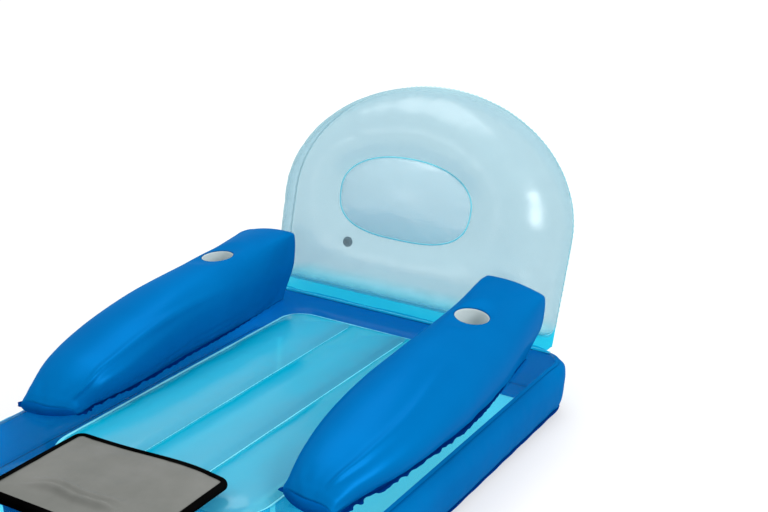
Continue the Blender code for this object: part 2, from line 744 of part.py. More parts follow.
def arm_end_share(index):
    """A point of the squared section at the armrest's flat ends, in the same shares."""
    count = 2 * ARM_SIDE_STEPS + ARM_TOP_STEPS
    if index <= ARM_SIDE_STEPS:
        return ARM_END_SHARES[index]
    if index >= count - ARM_SIDE_STEPS:
        x, z = ARM_END_SHARES[count - index]
        return -x, z
    corner = ARM_END_SHARES[-1][0]
    turn = 1.0 - 2.0 * (index - ARM_SIDE_STEPS) / ARM_TOP_STEPS
    return corner * turn, 1.0 + ARM_END_BULGE_SHARE * (1.0 - turn**2)


def along_arm(along, ends_and_middle):
    """A value at a share of the armrest's length, between its front, middle and rear values."""
    front, middle, rear = ends_and_middle
    if along < 0.5:
        return front + (middle - front) * along * 2.0
    return middle + (rear - middle) * (along * 2.0 - 1.0)


def cup_plane_height(x, y):
    """Height of the flat that the cup's flange keeps in the armrest's skin, on the right-hand side."""
    return CUP_HEIGHT - CUP_OUTWARD_SLOPE * (x - CUP_X) + CUP_FRONT_SLOPE * (y - CUP_Y)


def arm_section(station):
    """Points of the right-hand armrest's skin at one station, from the outer flange to the inner."""
    along, width_share, height_share, square = station
    y = ARM_FRONT + ARM_LENGTH * along
    centre = along_arm(along, ARM_OFFSETS)
    half_width = ARM_HALF_WIDTH * width_share
    height = ARM_HEIGHT * height_share
    count = 2 * ARM_SIDE_STEPS + ARM_TOP_STEPS
    slope = along_arm(along, ARM_SLOPE_SHARES)
    points = []
    for index in range(count + 1):
        round_x, round_z = arm_round_share(index)
        end_x, end_z = arm_end_share(index)
        dx = half_width * (round_x + (end_x - round_x) * square)
        lift = round_z + (end_z - round_z) * square
        x = centre + dx
        z = ARM_SKIN_FOOT + lift * (height - slope * dx)
        reach = math.hypot(x - CUP_X, y - CUP_Y)
        if lift > ARM_WIDEST_SHARE and reach < CUP_BLEND_RADIUS:
            share = min(1.0, (CUP_BLEND_RADIUS - reach) / (CUP_BLEND_RADIUS - CUP_FLAT_RADIUS))
            share = share * share * (3.0 - 2.0 * share)
            z += (cup_plane_height(x, y) - z) * share
        points.append((x, y, z))
    outer, inner = points[0], points[-1]
    points.insert(0, (outer[0] + ARM_FLANGE, y, ARM_SKIN_FOOT))
    points.append((inner[0] - ARM_FLANGE, y, ARM_SKIN_FOOT))
    return points


def mirrored(points, side):
    return [(side * x, y, z) for x, y, z in points]


def arm_foot_outline(sections, side):
    """Plan outline of the armrest's base film, reaching under its end panels."""
    room = GAP + FILM
    outer = [section[0][:2] for section in sections]
    inner = [section[-1][:2] for section in sections]
    for line in (outer, inner):
        line[0] = (line[0][0], line[0][1] - room)
        line[-1] = (line[-1][0], line[-1][1] + room)
    outline = [(side * x, y) for x, y in outer + inner[::-1]]
    return outline if side > 0 else outline[::-1]


def armrest(label, side):
    """One armrest: base film, skin, flat end panels, cup well and the valve in its rear panel."""
    sections = [arm_section(station) for station in ARM_STATION_SHARES]
    flip = side > 0
    vertices, faces = loft([mirrored(section, side) for section in sections], closed=False)
    skin = add_object(f"armrest_skin_{label}", vertices, flipped(faces) if flip else faces, ROYAL_BLUE)
    give_thickness(skin)

    foot = arm_foot_outline(sections, side)
    slab(f"armrest_base_{label}", foot, ARM_SEAT_HEIGHT + GAP, ARM_BASE_TOP, ROYAL_BLUE)

    for end, section, way in (("front", sections[0], -1), ("rear", sections[-1], 1)):
        plate = arm_end_panel(f"armrest_{end}_panel_{label}", section[1:-1], way, side)
        if end == "rear":
            middle_z = ARM_SKIN_FOOT + ARM_HEIGHT * ARM_STATION_SHARES[-1][2] / 2
            place = Matrix.Translation((side * ARM_OFFSETS[-1], section[0][1] + GAP + FILM, middle_z))
            frame = place @ Matrix.Rotation(math.radians(-90.0), 4, "X")
            radius = VALVE_STEM_RADIUS + GAP
            cut(plate, cylinder_cutter(f"arm_valve_hole_{label}", radius, CUT_OVERRUN * 2, frame))
            valve(f"armrest_{label}", frame)

    tilt = Vector((side * CUP_OUTWARD_SLOPE, -CUP_FRONT_SLOPE, 1.0)).normalized()
    turn = tilt.to_track_quat("Z", "Y").to_matrix().to_4x4()
    frame = Matrix.Translation((side * CUP_X, CUP_Y, CUP_HEIGHT)) @ turn
    cut(skin, cylinder_cutter(f"cup_hole_{label}", CUP_RADIUS, CUT_OVERRUN * 4, frame))
    cup_well(f"cup_well_{label}", frame)


def arm_end_panel(name, section, way, side):
    """The flat film that closes an end of the armrest, just outside the skin's edge."""
    near = section[0][1] + way * GAP
    far = near + way * FILM
    outline = [(side * x, z) for x, _, z in section]
    count = len(outline)
    vertices = [(x, near, z) for x, z in outline] + [(x, far, z) for x, z in outline]
    faces = [tuple(range(count)), tuple(range(count, 2 * count))[::-1]]
    faces += [(i, count + i, count + (i + 1) % count, (i + 1) % count) for i in range(count)]
    if way * side < 0:
        faces = flipped(faces)
    return add_object(name, vertices, faces, ROYAL_BLUE)


def cup_well(name, frame):
    """A drawn cup with a flange that is welded under the skin round its hole."""
    top = -(FILM + 2 * GAP)
    floor_radius = CUP_RADIUS - CUP_DRAFT
    corner = CUP_DRAFT
    profile = (
        (0.0, -CUP_DEPTH + FILM),
        (floor_radius - corner, -CUP_DEPTH + FILM),
        (floor_radius, -CUP_DEPTH + FILM + corner),
        (CUP_RADIUS, top),
        (CUP_RADIUS + CUP_FLANGE, top),
        (CUP_RADIUS + CUP_FLANGE, top - FILM),
        (CUP_RADIUS + FILM, top - FILM),
        (floor_radius + FILM, -CUP_DEPTH + FILM + corner),
        (floor_radius - corner + FILM / 2, -CUP_DEPTH),
        (0.0, -CUP_DEPTH),
    )
    turned(name, profile, CUP_WHITE, frame)


BACK_HINGE_Y = HALF_LENGTH - TOP_SEAM_INSET
BACK_HINGE_Z = TOP_MARGIN_HEIGHT + GAP + FILM


def back_outline(inset):
    """The backrest's outline in its own plane: a straight foot and sides under an elliptical arch."""
    half = BACK_WIDTH / 2 - inset
    low = BACK_CHAMBER_START + inset
    corner = BACK_LOWER_CORNER - inset
    arch = BACK_HEIGHT - BACK_STRAIGHT_HEIGHT - inset
    side_low = low + corner
    step_up = (BACK_STRAIGHT_HEIGHT - side_low) / BACK_SIDE_STEPS
    rises = [side_low + step_up * i for i in range(1, BACK_SIDE_STEPS)]
    points = [((half - corner) * (2.0 * i / BACK_FOOT_STEPS - 1.0), low) for i in range(1, BACK_FOOT_STEPS)]
    for step in range(BACK_CORNER_STEPS + 1):
        angle = math.radians(-90.0 + 90.0 * step / BACK_CORNER_STEPS)
        points.append((half - corner + corner * math.cos(angle), side_low + corner * math.sin(angle)))
    points += [(half, v) for v in rises]
    for step in range(ARCH_STEPS + 1):
        angle = math.pi * step / ARCH_STEPS
        points.append((half * math.cos(angle), BACK_STRAIGHT_HEIGHT + arch * math.sin(angle)))
    points += [(-half, v) for v in reversed(rises)]
    for step in range(BACK_CORNER_STEPS + 1):
        angle = math.radians(180.0 + 90.0 * step / BACK_CORNER_STEPS)
        points.append((corner - half + corner * math.cos(angle), side_low + corner * math.sin(angle)))
    return points


def oval(points, grown):
    """The pillow's oval, squarer below, with a point for the direction of each given point."""
    half_width, half_height = PILLOW_WIDTH / 2 + grown, PILLOW_HEIGHT / 2 + grown
    ring = []
    for u, v in points:
        angle = math.atan2((v - PILLOW_CENTRE_HEIGHT) / half_height, u / half_width)
        x, y = math.cos(angle), math.sin(angle)
        power = PILLOW_UPPER_CURVE_SHARE if y > 0.0 else PILLOW_LOWER_CURVE_SHARE
        across = half_width * math.copysign(abs(x) ** power, x)
        ring.append((across, PILLOW_CENTRE_HEIGHT + half_height * math.copysign(abs(y) ** power, y)))
    return ring


def crowned_sheet(name, crown, dip, way, parent):
    """One face of the backrest: a flat flange, an inflated rise, and a dip to a flat oval."""
    edge = back_outline(-BACK_FLANGE)
    seam = back_outline(0.0)
    middle = oval(seam, PILLOW_FLANGE * 2)
    face = GAP / 2 + FILM
    loops = [[(u, way * face, v) for u, v in edge]]
    for share in BACK_RING_SHARES:
        sunk = dip * max(0.0, 1.0 - share / DIP_REACH_SHARE) ** 2
        rise = face + crown * (1.0 - share**2) ** BACK_RIM_SHARE - sunk
        ring = [(mu + (u - mu) * share, mv + (v - mv) * share) for (u, v), (mu, mv) in zip(seam, middle)]
        loops.append([(u, way * rise, v) for u, v in ring])
    vertices, faces = loft(loops, cap_last=True)
    item = add_object(name, vertices, faces if way < 0 else flipped(faces), BACK_FILM, parent)
    return give_thickness(item), vertices, faces


def pillow(parent):
    """The oval pillow welded on the backrest's front film."""
    level = GAP / 2 + FILM + BACK_FRONT_CROWN - PILLOW_DIP + GAP + FILM
    turns = [2.0 * math.pi * step / PILLOW_STEPS for step in range(PILLOW_STEPS)]
    ring = [(math.cos(t) * PILLOW_WIDTH, PILLOW_CENTRE_HEIGHT + math.sin(t) * PILLOW_HEIGHT) for t in turns]
    loops = [[(u, -level, v) for u, v in oval(ring, PILLOW_FLANGE)]]
    for share in PILLOW_RING_SHARES:
        rise = level + PILLOW_CROWN * (1.0 - share**2) ** PILLOW_RIM_SHARE
        shrunk = oval(ring, 0.0)
        shrunk = [(u * share, PILLOW_CENTRE_HEIGHT + (v - PILLOW_CENTRE_HEIGHT) * share) for u, v in shrunk]
        loops.append([(u, -rise, v) for u, v in shrunk])
    vertices, faces = loft(loops, cap_last=True)
    give_thickness(add_object("backrest_pillow", vertices, faces, BACK_FILM, parent))


def backrest():
    """The arched backrest: two crowned faces, the oval pillow, its foot band and its valve."""
    hinge = add_empty("backrest_hinge", (0.0, BACK_HINGE_Y, BACK_HINGE_Z), (-BACK_LEAN, 0.0, 0.0))
    crowned_sheet("backrest_front_film", BACK_FRONT_CROWN, PILLOW_DIP, -1, hinge)
    rear, vertices, faces = crowned_sheet("backrest_rear_film", BACK_REAR_CROWN, 0.0, 1, hinge)

    pillow(hinge)

    half_band = BACK_WIDTH / 2
    low, high = BACK_BAND_LOW, BACK_CHAMBER_START - BACK_FLANGE - GAP
    depth = FILM + GAP / 2
    outline = [(-half_band, -depth), (half_band, -depth), (half_band, depth), (-half_band, depth)]
    slab("backrest_foot_band", outline, low, high, CLEAR_BLUE, hinge)
    strip_low = TOP_MARGIN_HEIGHT + GAP
    y0, y1 = BACK_HINGE_Y - SEAM_LIP, BACK_HINGE_Y + depth
    outline = [(-half_band, y0), (half_band, y0), (half_band, y1), (-half_band, y1)]
    slab("backrest_weld_strip", outline, strip_low, strip_low + FILM, CLEAR_BLUE)

    tree = BVHTree.FromPolygons([Vector(v) for v in vertices], faces)
    start = Vector((-BACK_VALVE_SIDE_OFFSET, BACK_WIDTH, BACK_VALVE_HEIGHT))
    spot, normal, _, _ = tree.ray_cast(start, Vector((0.0, -1.0, 0.0)))
    normal = normal if normal.y > 0.0 else -normal
    frame = Matrix.Translation(spot) @ normal.to_track_quat("Z", "X").to_matrix().to_4x4()
    cut(rear, cylinder_cutter("back_valve_hole", VALVE_STEM_RADIUS + GAP, CUT_OVERRUN * 2, frame, hinge))
    valve("backrest", frame, hinge)


top_film()
side_band()
bottom_film()
panel_webs("seat", SEAT_LOOP, SEAT_CORNER_STEPS, CHANNEL_END_GAP)
panel_webs("foot", FOOT_LOOP, PANEL_CORNER_STEPS, CHANNEL_END_GAP)
channel_webs()
lid(cooler())
for arm_label, arm_side in (("right", 1), ("left", -1)):
    armrest(arm_label, arm_side)
backrest()
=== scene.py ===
"""Looks of the pool air mattress: smooth inflated films with welds, puckers and clear vinyl.

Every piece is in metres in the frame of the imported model, and rides on one of its bodies.
"""
import math

import bpy
import numpy as np
from mathutils import Matrix, Vector
from mathutils.geometry import delaunay_2d_cdt


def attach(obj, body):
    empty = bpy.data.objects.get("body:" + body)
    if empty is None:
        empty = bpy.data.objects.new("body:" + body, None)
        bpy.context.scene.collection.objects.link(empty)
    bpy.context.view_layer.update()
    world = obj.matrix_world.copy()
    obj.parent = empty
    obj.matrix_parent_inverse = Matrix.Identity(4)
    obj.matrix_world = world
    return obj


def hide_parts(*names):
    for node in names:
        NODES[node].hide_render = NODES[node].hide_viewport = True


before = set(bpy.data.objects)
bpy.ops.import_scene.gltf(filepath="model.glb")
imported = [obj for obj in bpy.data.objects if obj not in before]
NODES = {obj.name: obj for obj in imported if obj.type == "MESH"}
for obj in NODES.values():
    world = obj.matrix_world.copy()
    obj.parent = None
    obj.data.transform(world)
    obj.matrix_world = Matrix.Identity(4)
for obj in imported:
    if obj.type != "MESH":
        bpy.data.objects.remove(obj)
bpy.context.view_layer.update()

# Sizes shared with the solids
FILM, GAP = 0.0010, 0.0003
BASE_WIDTH, BASE_LENGTH, BASE_CORNER = 0.84, 1.66, 0.100
BOTTOM_SEAM_Z = 0.018
TOP_SEAM_Z, TOP_SEAM_INSET, SEAM_LIP = 0.118, 0.0234, 0.008
WELD_Z, SEAT_CROWN, RING_CROWN, ARM_SEAT_Z = 0.133, 0.018, 0.027, 0.148
# Half width, front, rear, front corners and rear corners
SEAT_PANEL = (0.229, -0.2154, 0.6536, 0.080, 0.055)
FOOT_PANEL = (0.229, -0.665, -0.460, 0.050, 0.050)
MOUTH = (0.145, -0.4054, -0.2554, 0.026, 0.026)
CHANNEL_X, CHANNEL_END, MOUTH_Z, RIM_WIDTH = 0.0721, 0.018, 0.158, 0.013
LID_HALF, LID_LENGTH, LID_CORNER = 0.1702, 0.2554, 0.020
LID_Y, LID_Z = -0.4184, 0.1632
LID_INSET, LID_FOAM = 0.0013, 0.0050
ARM_FRONT, ARM_LENGTH, ARM_FOOT_Z = -0.140, 0.810, 0.1506
ARM_WIDTH, ARM_HEIGHT, ARM_WIDEST, ARM_FOOT_ANGLE = 0.100, 0.170, 0.52, math.radians(50.0)
CUP_R, CUP_DEPTH, CUP = 0.0361, 0.088, (0.3127, 0.4603, 0.3086)
CUP_SLOPES, CUP_FLAT, CUP_BLEND = (0.100, 0.060), (0.0385, 0.0470), (0.036, 0.085)
BACK_Y, BACK_Z, BACK_LEAN = 0.8066, 0.1206, math.radians(12.55)
BACK_HALF, BACK_STRAIGHT, BACK_TOP, BACK_LOW, BACK_CORNER = 0.3587, 0.247, 0.5375, 0.035, 0.022
BACK_FRONT, BACK_REAR, BACK_RIM = 0.150, 0.070, 0.45
PILLOW_HALF, PILLOW_TALL, PILLOW_V = 0.163, 0.0895, 0.284
PILLOW_DIP, DIP_REACH, PILLOW_CROWN = 0.025, 0.62, 0.026
PILLOW_CURVES = (0.91, 0.71)

# Stations along the armrest: share of its length, then width, height and squareness
ARM_SHARES = np.array((
    (0.000, 0.465, 0.115, 1.0),
    (0.010, 0.50, 0.175, 0.95),
    (0.026, 0.54, 0.235, 0.78),
    (0.060, 0.62, 0.335, 0.40),
    (0.120, 0.76, 0.46, 0.0),
    (0.200, 0.90, 0.58, 0.0),
    (0.310, 0.985, 0.72, 0.0),
    (0.430, 1.00, 0.83, 0.0),
    (0.550, 0.97, 0.90, 0.0),
    (0.650, 0.93, 0.94, 0.0),
    (0.740, 0.89, 0.97, 0.05),
    (0.830, 0.84, 0.985, 0.22),
    (0.885, 0.80, 0.985, 0.45),
    (0.940, 0.76, 0.975, 0.75),
    (0.980, 0.73, 0.96, 0.97),
    (1.000, 0.72, 0.95, 1.0),
))
# Sideways place of the armrest and slope of its top, at its front end, middle and rear end
ARM_OFFSETS, ARM_SLOPES = (0.303, 0.322, 0.3133), (0.0, 0.16, 0.13)
# Half outlines of the squared front and rear ends, as shares of half the width and of the height
ARM_NOSE = ((0.98, 0.0), (1.02, 0.16), (1.01, 0.36), (0.97, 0.56), (0.88, 0.76), (0.74, 0.90), (0.56, 0.98))
ARM_END = ((0.56, 0.0), (0.66, 0.14), (0.82, 0.34), (0.96, 0.54), (1.0, 0.76), (0.985, 0.93), (0.90, 0.995))

# Sizes of the looks only
CLOTH_WALL, FILM_WALL, BLUE_WALL, BAND_WALL = 0.0008, 0.0005, 0.0006, 0.0012
BASE_HALF = np.array([BASE_WIDTH / 2, BASE_LENGTH / 2])
BASE_CORE = BASE_HALF - BASE_CORNER
# Half width of a weld, reach of a panel's weld over the ring, and push of the full corners
WELD_HALF, RING_WELD, CORNER_PUSH = 0.0018, 0.0037, 0.0085
# Armrest front end: drawn back all over, drawn back more at its inner side, widened outwards and inwards
NOSE_PULL = {"left": (0.022, 0.036, 0.014, 0.003), "right": (0.004, 0.027, 0.0, 0.018)}


# Numbers and lines
def hashed(cell, seed):
    """A repeatable value from 0 to 1 for each lattice cell."""
    turn = cell[..., 0] * 127.1 + cell[..., 1] * 311.7 + cell[..., 2] * 74.7 + seed * 53.3
    value = np.sin(turn) * 43758.5453
    return value - np.floor(value)


def ripple(*axes, seed=0):
    """Smooth repeatable noise from -1 to 1 over up to three axes given in wavelengths."""
    p = np.stack(np.broadcast_arrays(*axes, *([0.0] * (3 - len(axes)))), -1).astype(float)
    low = np.floor(p)
    t = p - low
    t = t * t * (3.0 - 2.0 * t)
    total = 0.0
    for corner in range(8):
        step = np.array([corner & 1, corner >> 1 & 1, corner >> 2 & 1])
        weight = np.prod(np.where(step, t, 1.0 - t), -1)
        total = total + weight * hashed(low + step, seed)
    return total * 2.0 - 1.0


def smooth(value, low, high):
    t = np.clip((value - low) / (high - low), 0.0, 1.0)
    return t * t * (3.0 - 2.0 * t)


def fall(value, low, high):
    return 1.0 - smooth(value, low, high)


def bell(value, width):
    return np.exp(-(value / width) ** 2)


def spline(xs, ys, x):
    """A cubic through a table of values."""
    slopes = np.gradient(ys, xs)
    i = np.clip(np.searchsorted(xs, x, side="right") - 1, 0, len(xs) - 2)
    h = xs[i + 1] - xs[i]
    t = (x - xs[i]) / h
    a = (1 + 2 * t) * (1 - t) ** 2 * ys[i] + t * (1 - t) ** 2 * h * slopes[i]
    return a + t * t * (3 - 2 * t) * ys[i + 1] + t * t * (t - 1) * h * slopes[i + 1]


def divided(loop, count=None, step=None):
    """Points at even steps round a closed line, and how far along it each one is."""
    ring = np.vstack([loop, loop[:1]])
    run = np.concatenate([[0.0], np.cumsum(np.linalg.norm(np.diff(ring, axis=0), axis=1))])
    at = np.linspace(0.0, run[-1], count or max(4, round(run[-1] / step)), endpoint=False)
    return np.stack([np.interp(at, run, ring[:, k]) for k in (0, 1)], -1), at


def even(loop, step):
    return divided(loop, step=step)[0]


def arc(x, y, wide, tall, angles):
    return [(x + wide * math.cos(angle), y + tall * math.sin(angle)) for angle in angles]


def quarter(start, steps, first=0):
    return [math.radians(start + 90.0 * k / steps) for k in range(first, steps + 1)]


def rounded(half, low, high, r_low, r_high=None, steps=10):
    """Plan points of a rounded rectangle, anticlockwise from the right-hand low corner."""
    r_high = r_low if r_high is None else r_high
    return np.array(
        arc(half - r_low, low + r_low, r_low, r_low, quarter(-90.0, steps))
        + arc(half - r_high, high - r_high, r_high, r_high, quarter(0.0, steps))
        + arc(r_high - half, high - r_high, r_high, r_high, quarter(90.0, steps))
        + arc(r_low - half, low + r_low, r_low, r_low, quarter(180.0, steps))
    )


def base_outline(inset, steps=10):
    half = BASE_LENGTH / 2 - inset
    return rounded(BASE_WIDTH / 2 - inset, -half, half, max(BASE_CORNER - inset, 0.002), steps=steps)


def grown(panel, out=0.0):
    half, front, rear, front_corner, rear_corner = panel
    return rounded(half + out, front - out, rear + out, front_corner + out, rear_corner + out)


def nearest(points, line, closed=True):
    """Distance from each point to a line, and how far along the line that place is."""
    ends = np.vstack([line[1:], line[:1]]) if closed else line[1:]
    best = np.full(len(points), np.inf)
    along = np.zeros(len(points))
    run = 0.0
    for a, b in zip(line, ends):
        d = b - a
        size = float(d @ d)
        t = np.clip(((points - a) @ d) / max(size, 1e-12), 0.0, 1.0)
        gap = np.linalg.norm(points - a - t[:, None] * d, axis=1)
        closer = gap < best
        best[closer] = gap[closer]
        along[closer] = run + t[closer] * math.sqrt(size)
        run += math.sqrt(size)
    return best, along


def inside(points, loop):
    """Whether plan points lie inside a closed line."""
    result = np.zeros(len(points), bool)
    x, y = points[:, 0], points[:, 1]
    for (ax, ay), (bx, by) in zip(loop, np.roll(loop, 1, axis=0)):
        if ay != by:
            crossed = (ay > y) != (by > y)
            result ^= crossed & (x < (bx - ax) * (y - ay) / (by - ay) + ax)
    return result


def puckers(distance, along, reach, wave, seed):
    """Short folds that run away from a weld and fade out with the distance from it."""
    fade = distance / reach * np.exp(1.0 - distance / reach)
    return fade * ripple(along / wave, distance / (reach * 2.2), seed=seed)


def folds(distance, along, seed, *layers):
    """Puckers of several (height, reach, wave) together, with seeds that follow one another."""
    return sum(height * puckers(distance, along, reach, wave, seed + k)
               for k, (height, reach, wave) in enumerate(layers))


# Meshes
def piece(name, vertices, faces, materials, body, node, film=None, slots=None, sharp=None, inner=0,
          flat=None, flip=False, place=None):
    """A smooth piece that rides on a body; film gives it a wall away from its outer face.

    inner is how many material slots further on the wall's inner face finds its material, flat is the
    slot of the faces that are shaded flat, and flip turns every face round.
    """
    if flip:
        faces = [face[::-1] for face in faces]
    mesh = bpy.data.meshes.new(name)
    mesh.from_pydata(np.asarray(vertices).tolist(), [], faces)
    mesh.validate()
    for material in materials:
        mesh.materials.append(material)
    if slots is not None:
        mesh.polygons.foreach_set("material_index", np.asarray(slots, np.int32))
    mesh.shade_smooth()
    if flat is not None:
        mesh.polygons.foreach_set("use_smooth", np.asarray(slots) != flat)
    if sharp:
        mesh.set_sharp_from_angle(angle=math.radians(sharp))
    item = bpy.data.objects.new(name, mesh)
    bpy.context.scene.collection.objects.link(item)
    if film:
        solid = item.modifiers.new("film", "SOLIDIFY")
        solid.thickness = film
        solid.offset = -1.0
        solid.material_offset = inner
    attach(item, body)
    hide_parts(node)
    if place is not None:
        mesh.transform(place)
    return item


def sheet_faces(rows, columns, closed=True, start=0, flip=False):
    """Quads between rows of points; the normal is along the row's turn crossed with the rows' order."""
    i = np.arange(rows - 1)[:, None] * columns
    j = np.arange(columns if closed else columns - 1)[None, :]
    k = (j + 1) % columns
    quads = np.stack([i + j, i + k, i + k + columns, i + j + columns], -1).reshape(-1, 4) + start
    return (quads[:, ::-1] if flip else quads).tolist()


def closed_sheet(rows, row_slots):
    """Vertices, faces and slots of rings of points, the last closed by one face; slots default to 0."""
    grid = np.array(rows)
    count = grid.shape[1]
    faces = sheet_faces(len(rows), count)
    start = (len(rows) - 1) * count
    faces.append(list(range(start, start + count)))
    slots = [slot for slot in row_slots for _ in range(count)]
    return grid.reshape(-1, 3), faces, slots + [0] * (len(faces) - len(slots))


def used_only(vertices, faces):
    """The same mesh without the vertices that no face uses."""
    used = sorted({i for face in faces for i in face})
    place = {old: new for new, old in enumerate(used)}
    return vertices[used], [[place[i] for i in face] for face in faces]


def normals_of(grid, closed=True):
    """Unit normals of a grid of points, along its columns' turn crossed with its rows' order."""
    if closed:
        across = np.roll(grid, -1, axis=1) - np.roll(grid, 1, axis=1)
    else:
        across = np.gradient(grid, axis=1)
    normal = np.cross(across, np.gradient(grid, axis=0))
    return normal / np.maximum(np.linalg.norm(normal, axis=-1, keepdims=True), 1e-12)


def fill(loops, border, step, keep_off, hole=None):
    """Triangles inside a border, outside its hole, that follow every given line."""
    def open_to(places):
        room = inside(places, border)
        return room if hole is None else room & ~inside(places, hole)

    points, edges = [], []
    for loop in loops:
        start = len(points)
        points += loop.tolist()
        edges += [(start + i, start + (i + 1) % len(loop)) for i in range(len(loop))]
    rows = []
    low, high = border.min(0), border.max(0)
    for row, y in enumerate(np.arange(low[1], high[1], step * 0.87)):
        xs = np.arange(low[0] + (step / 2 if row % 2 else 0.0), high[0], step)
        rows.append(np.stack([xs, np.full(len(xs), y)], -1))
    grid = np.concatenate(rows)
    grid = grid[open_to(grid)]
    for loop in loops:
        box = (grid >= loop.min(0) - step).all(1) & (grid <= loop.max(0) + step).all(1)
        gap = np.full(len(grid), 1.0)
        gap[box] = nearest(grid[box], loop)[0]
        grid = grid[gap > keep_off]
    points += grid.tolist()
    vertices, _, faces, *_ = delaunay_2d_cdt([Vector(p) for p in points], edges, [], 0, 1e-6)
    flat = np.array([tuple(v) for v in vertices])
    middles = np.array([flat[list(face)].mean(0) for face in faces])
    good = open_to(middles)
    return flat, [list(face) for face, ok in zip(faces, good) if ok], middles[good]


# Materials
def feed(tree, node, inputs):
    """Sets inputs, by name or number, to a value, to a colour or to another node's output."""
    for key, value in inputs.items():
        if isinstance(value, bpy.types.NodeSocket):
            tree.links.new(value, node.inputs[key])
        else:
            node.inputs[key].default_value = (*value, 1.0) if isinstance(value, tuple) else value


def add(tree, kind, inputs=None, **settings):
    node = tree.nodes.new("ShaderNode" + kind)
    for key, value in settings.items():
        setattr(node, key, value)
    feed(tree, node, inputs or {})
    return node


def new_material(name, inputs):
    material = bpy.data.materials.new(name)
    material.use_nodes = True
    tree = material.node_tree
    shader = tree.nodes["Principled BSDF"]
    feed(tree, shader, inputs)
    return material, tree, shader


def map_range(tree, value, from_min, from_max, to_min, to_max, kind="LINEAR"):
    ends = {"From Min": from_min, "From Max": from_max, "To Min": to_min, "To Max": to_max}
    return add(tree, "MapRange", {"Value": value, **ends}, interpolation_type=kind).outputs["Result"]


def mixed_shader(tree, share, first, second):
    return add(tree, "MixShader", {"Fac": share, 1: first, 2: second}).outputs["Shader"]


def noise(tree, place, scale, detail):
    return add(tree, "TexNoise", {"Vector": place, "Scale": scale, "Detail": detail}).outputs["Fac"]


def add_bumps(tree, shader, layers, distance):
    """Sums layers of (height, strength) into the shader's normal."""
    normal = {}
    for height, strength in layers:
        bump = add(tree, "Bump", {"Height": height, "Strength": strength, "Distance": distance, **normal})
        normal = {"Normal": bump.outputs["Normal"]}
    feed(tree, shader, normal)
    return normal


def film_bumps(tree, shader, place, layers):
    """Soft unevenness of film, from noise layers of (scale, strength)."""
    layers = [(noise(tree, place, scale, 2.0), strength) for scale, strength in layers]
    return add_bumps(tree, shader, layers, 0.001)


def ramp_of(tree, source, stops, kind="EASE"):
    """Colours over a 0 to 1 value."""
    ramp = add(tree, "ValToRGB", {"Fac": source})
    ramp.color_ramp.interpolation = kind
    elements = ramp.color_ramp.elements
    while len(elements) < len(stops):
        elements.new(0.5)
    for element, (at, colour) in zip(elements, stops):
        element.position = at
        element.color = (*colour, 1.0)
    return ramp.outputs["Color"]


def tone(tree, place, shader, dark, light, scale):
    """Slow variation of the shader's colour between two colours."""
    colour = ramp_of(tree, noise(tree, place, scale, 3.0), ((0.3, dark), (0.7, light)), "LINEAR")
    feed(tree, shader, {"Base Color": colour})


def solid_film(name, dark, light, roughness, metal=0.0, specular=0.3, shine=None, painted_glow=None, sheen=0.0):
    """Coloured vinyl with a soft gloss. shine tints its reflections, and painted_glow paints light let
    through it.

    sheen is the weight of a thin clear coat that shows where the film turns away.
    """
    inputs = {"Roughness": roughness, "Metallic": metal, "Specular IOR Level": specular}
    inputs |= {"Coat Weight": sheen, "Coat IOR": 1.2, "Coat Roughness": 0.22}
    if shine:
        inputs["Specular Tint"] = shine
    # Painted light: a glow that stands in for light let through the film
    if painted_glow:
        inputs |= {"Emission Color": painted_glow, "Emission Strength": 1.0}
    material, tree, shader = new_material(name, inputs)
    place = add(tree, "TexCoord").outputs["Object"]
    film_bumps(tree, shader, place, ((7.0, 0.22), (34.0, 0.10), (260.0, 0.03)))
    tone(tree, place, shader, dark, light, 4.0)
    return material


def clear_film(name, tints, veils, shares, roughness, gloss=0.0, stops=(0.40, 0.62, 0.86), foot=None,
               painted_glow=0.0):
    """See-through vinyl. Its tint, its milky share and that share's colour follow how it is turned.

    Each table has a value for film seen straight on, for film turned half away and for its grazing
    edge. foot gives the lower height, upper height, tint, veil and share that its foot fades into.
    gloss is how much of a clear reflection lies over it, and painted_glow paints light scattered in its
    milky share.
    """
    material, tree, shader = new_material(name, {"Roughness": roughness})
    place = add(tree, "TexCoord").outputs["Object"]
    normal = film_bumps(tree, shader, place, ((7.0, 0.16), (30.0, 0.06)))
    facing = add(tree, "LayerWeight", {"Blend": 0.5}).outputs["Facing"]
    greys = [(share,) * 3 for share in shares]
    tint, veil, share = (ramp_of(tree, facing, list(zip(stops, table))) for table in (tints, veils, greys))
    if foot:
        low, high, foot_tint, foot_veil, foot_share = foot
        height = add(tree, "SeparateXYZ", {"Vector": place}).outputs["Z"]
        rise = map_range(tree, height, low, high, 1.0, 0.0, "SMOOTHSTEP")
        tint, veil, share = (
            add(tree, "Mix", {"Factor": rise, 6: source, 7: colour}, data_type="RGBA").outputs[2]
            for source, colour in ((tint, foot_tint), (veil, foot_veil), (share, (foot_share,) * 3))
        )
    feed(tree, shader, {"Base Color": veil})
    # Painted light: the milky share glows, in place of light scattered in it
    if painted_glow:
        feed(tree, shader, {"Emission Color": veil, "Emission Strength": painted_glow})
    through = add(tree, "BsdfTransparent", {"Color": tint}).outputs["BSDF"]
    surface = mixed_shader(tree, share, through, shader.outputs["BSDF"])
    if gloss:
        mirror = add(tree, "BsdfGlossy", {"Roughness": roughness, **normal}).outputs["BSDF"]
        bounce = map_range(tree, facing, 0.55, 1.0, 0.045 * gloss, 0.13 * gloss)
        surface = mixed_shader(tree, bounce, surface, mirror)
    feed(tree, tree.nodes["Material Output"], {"Surface": surface})
    return material


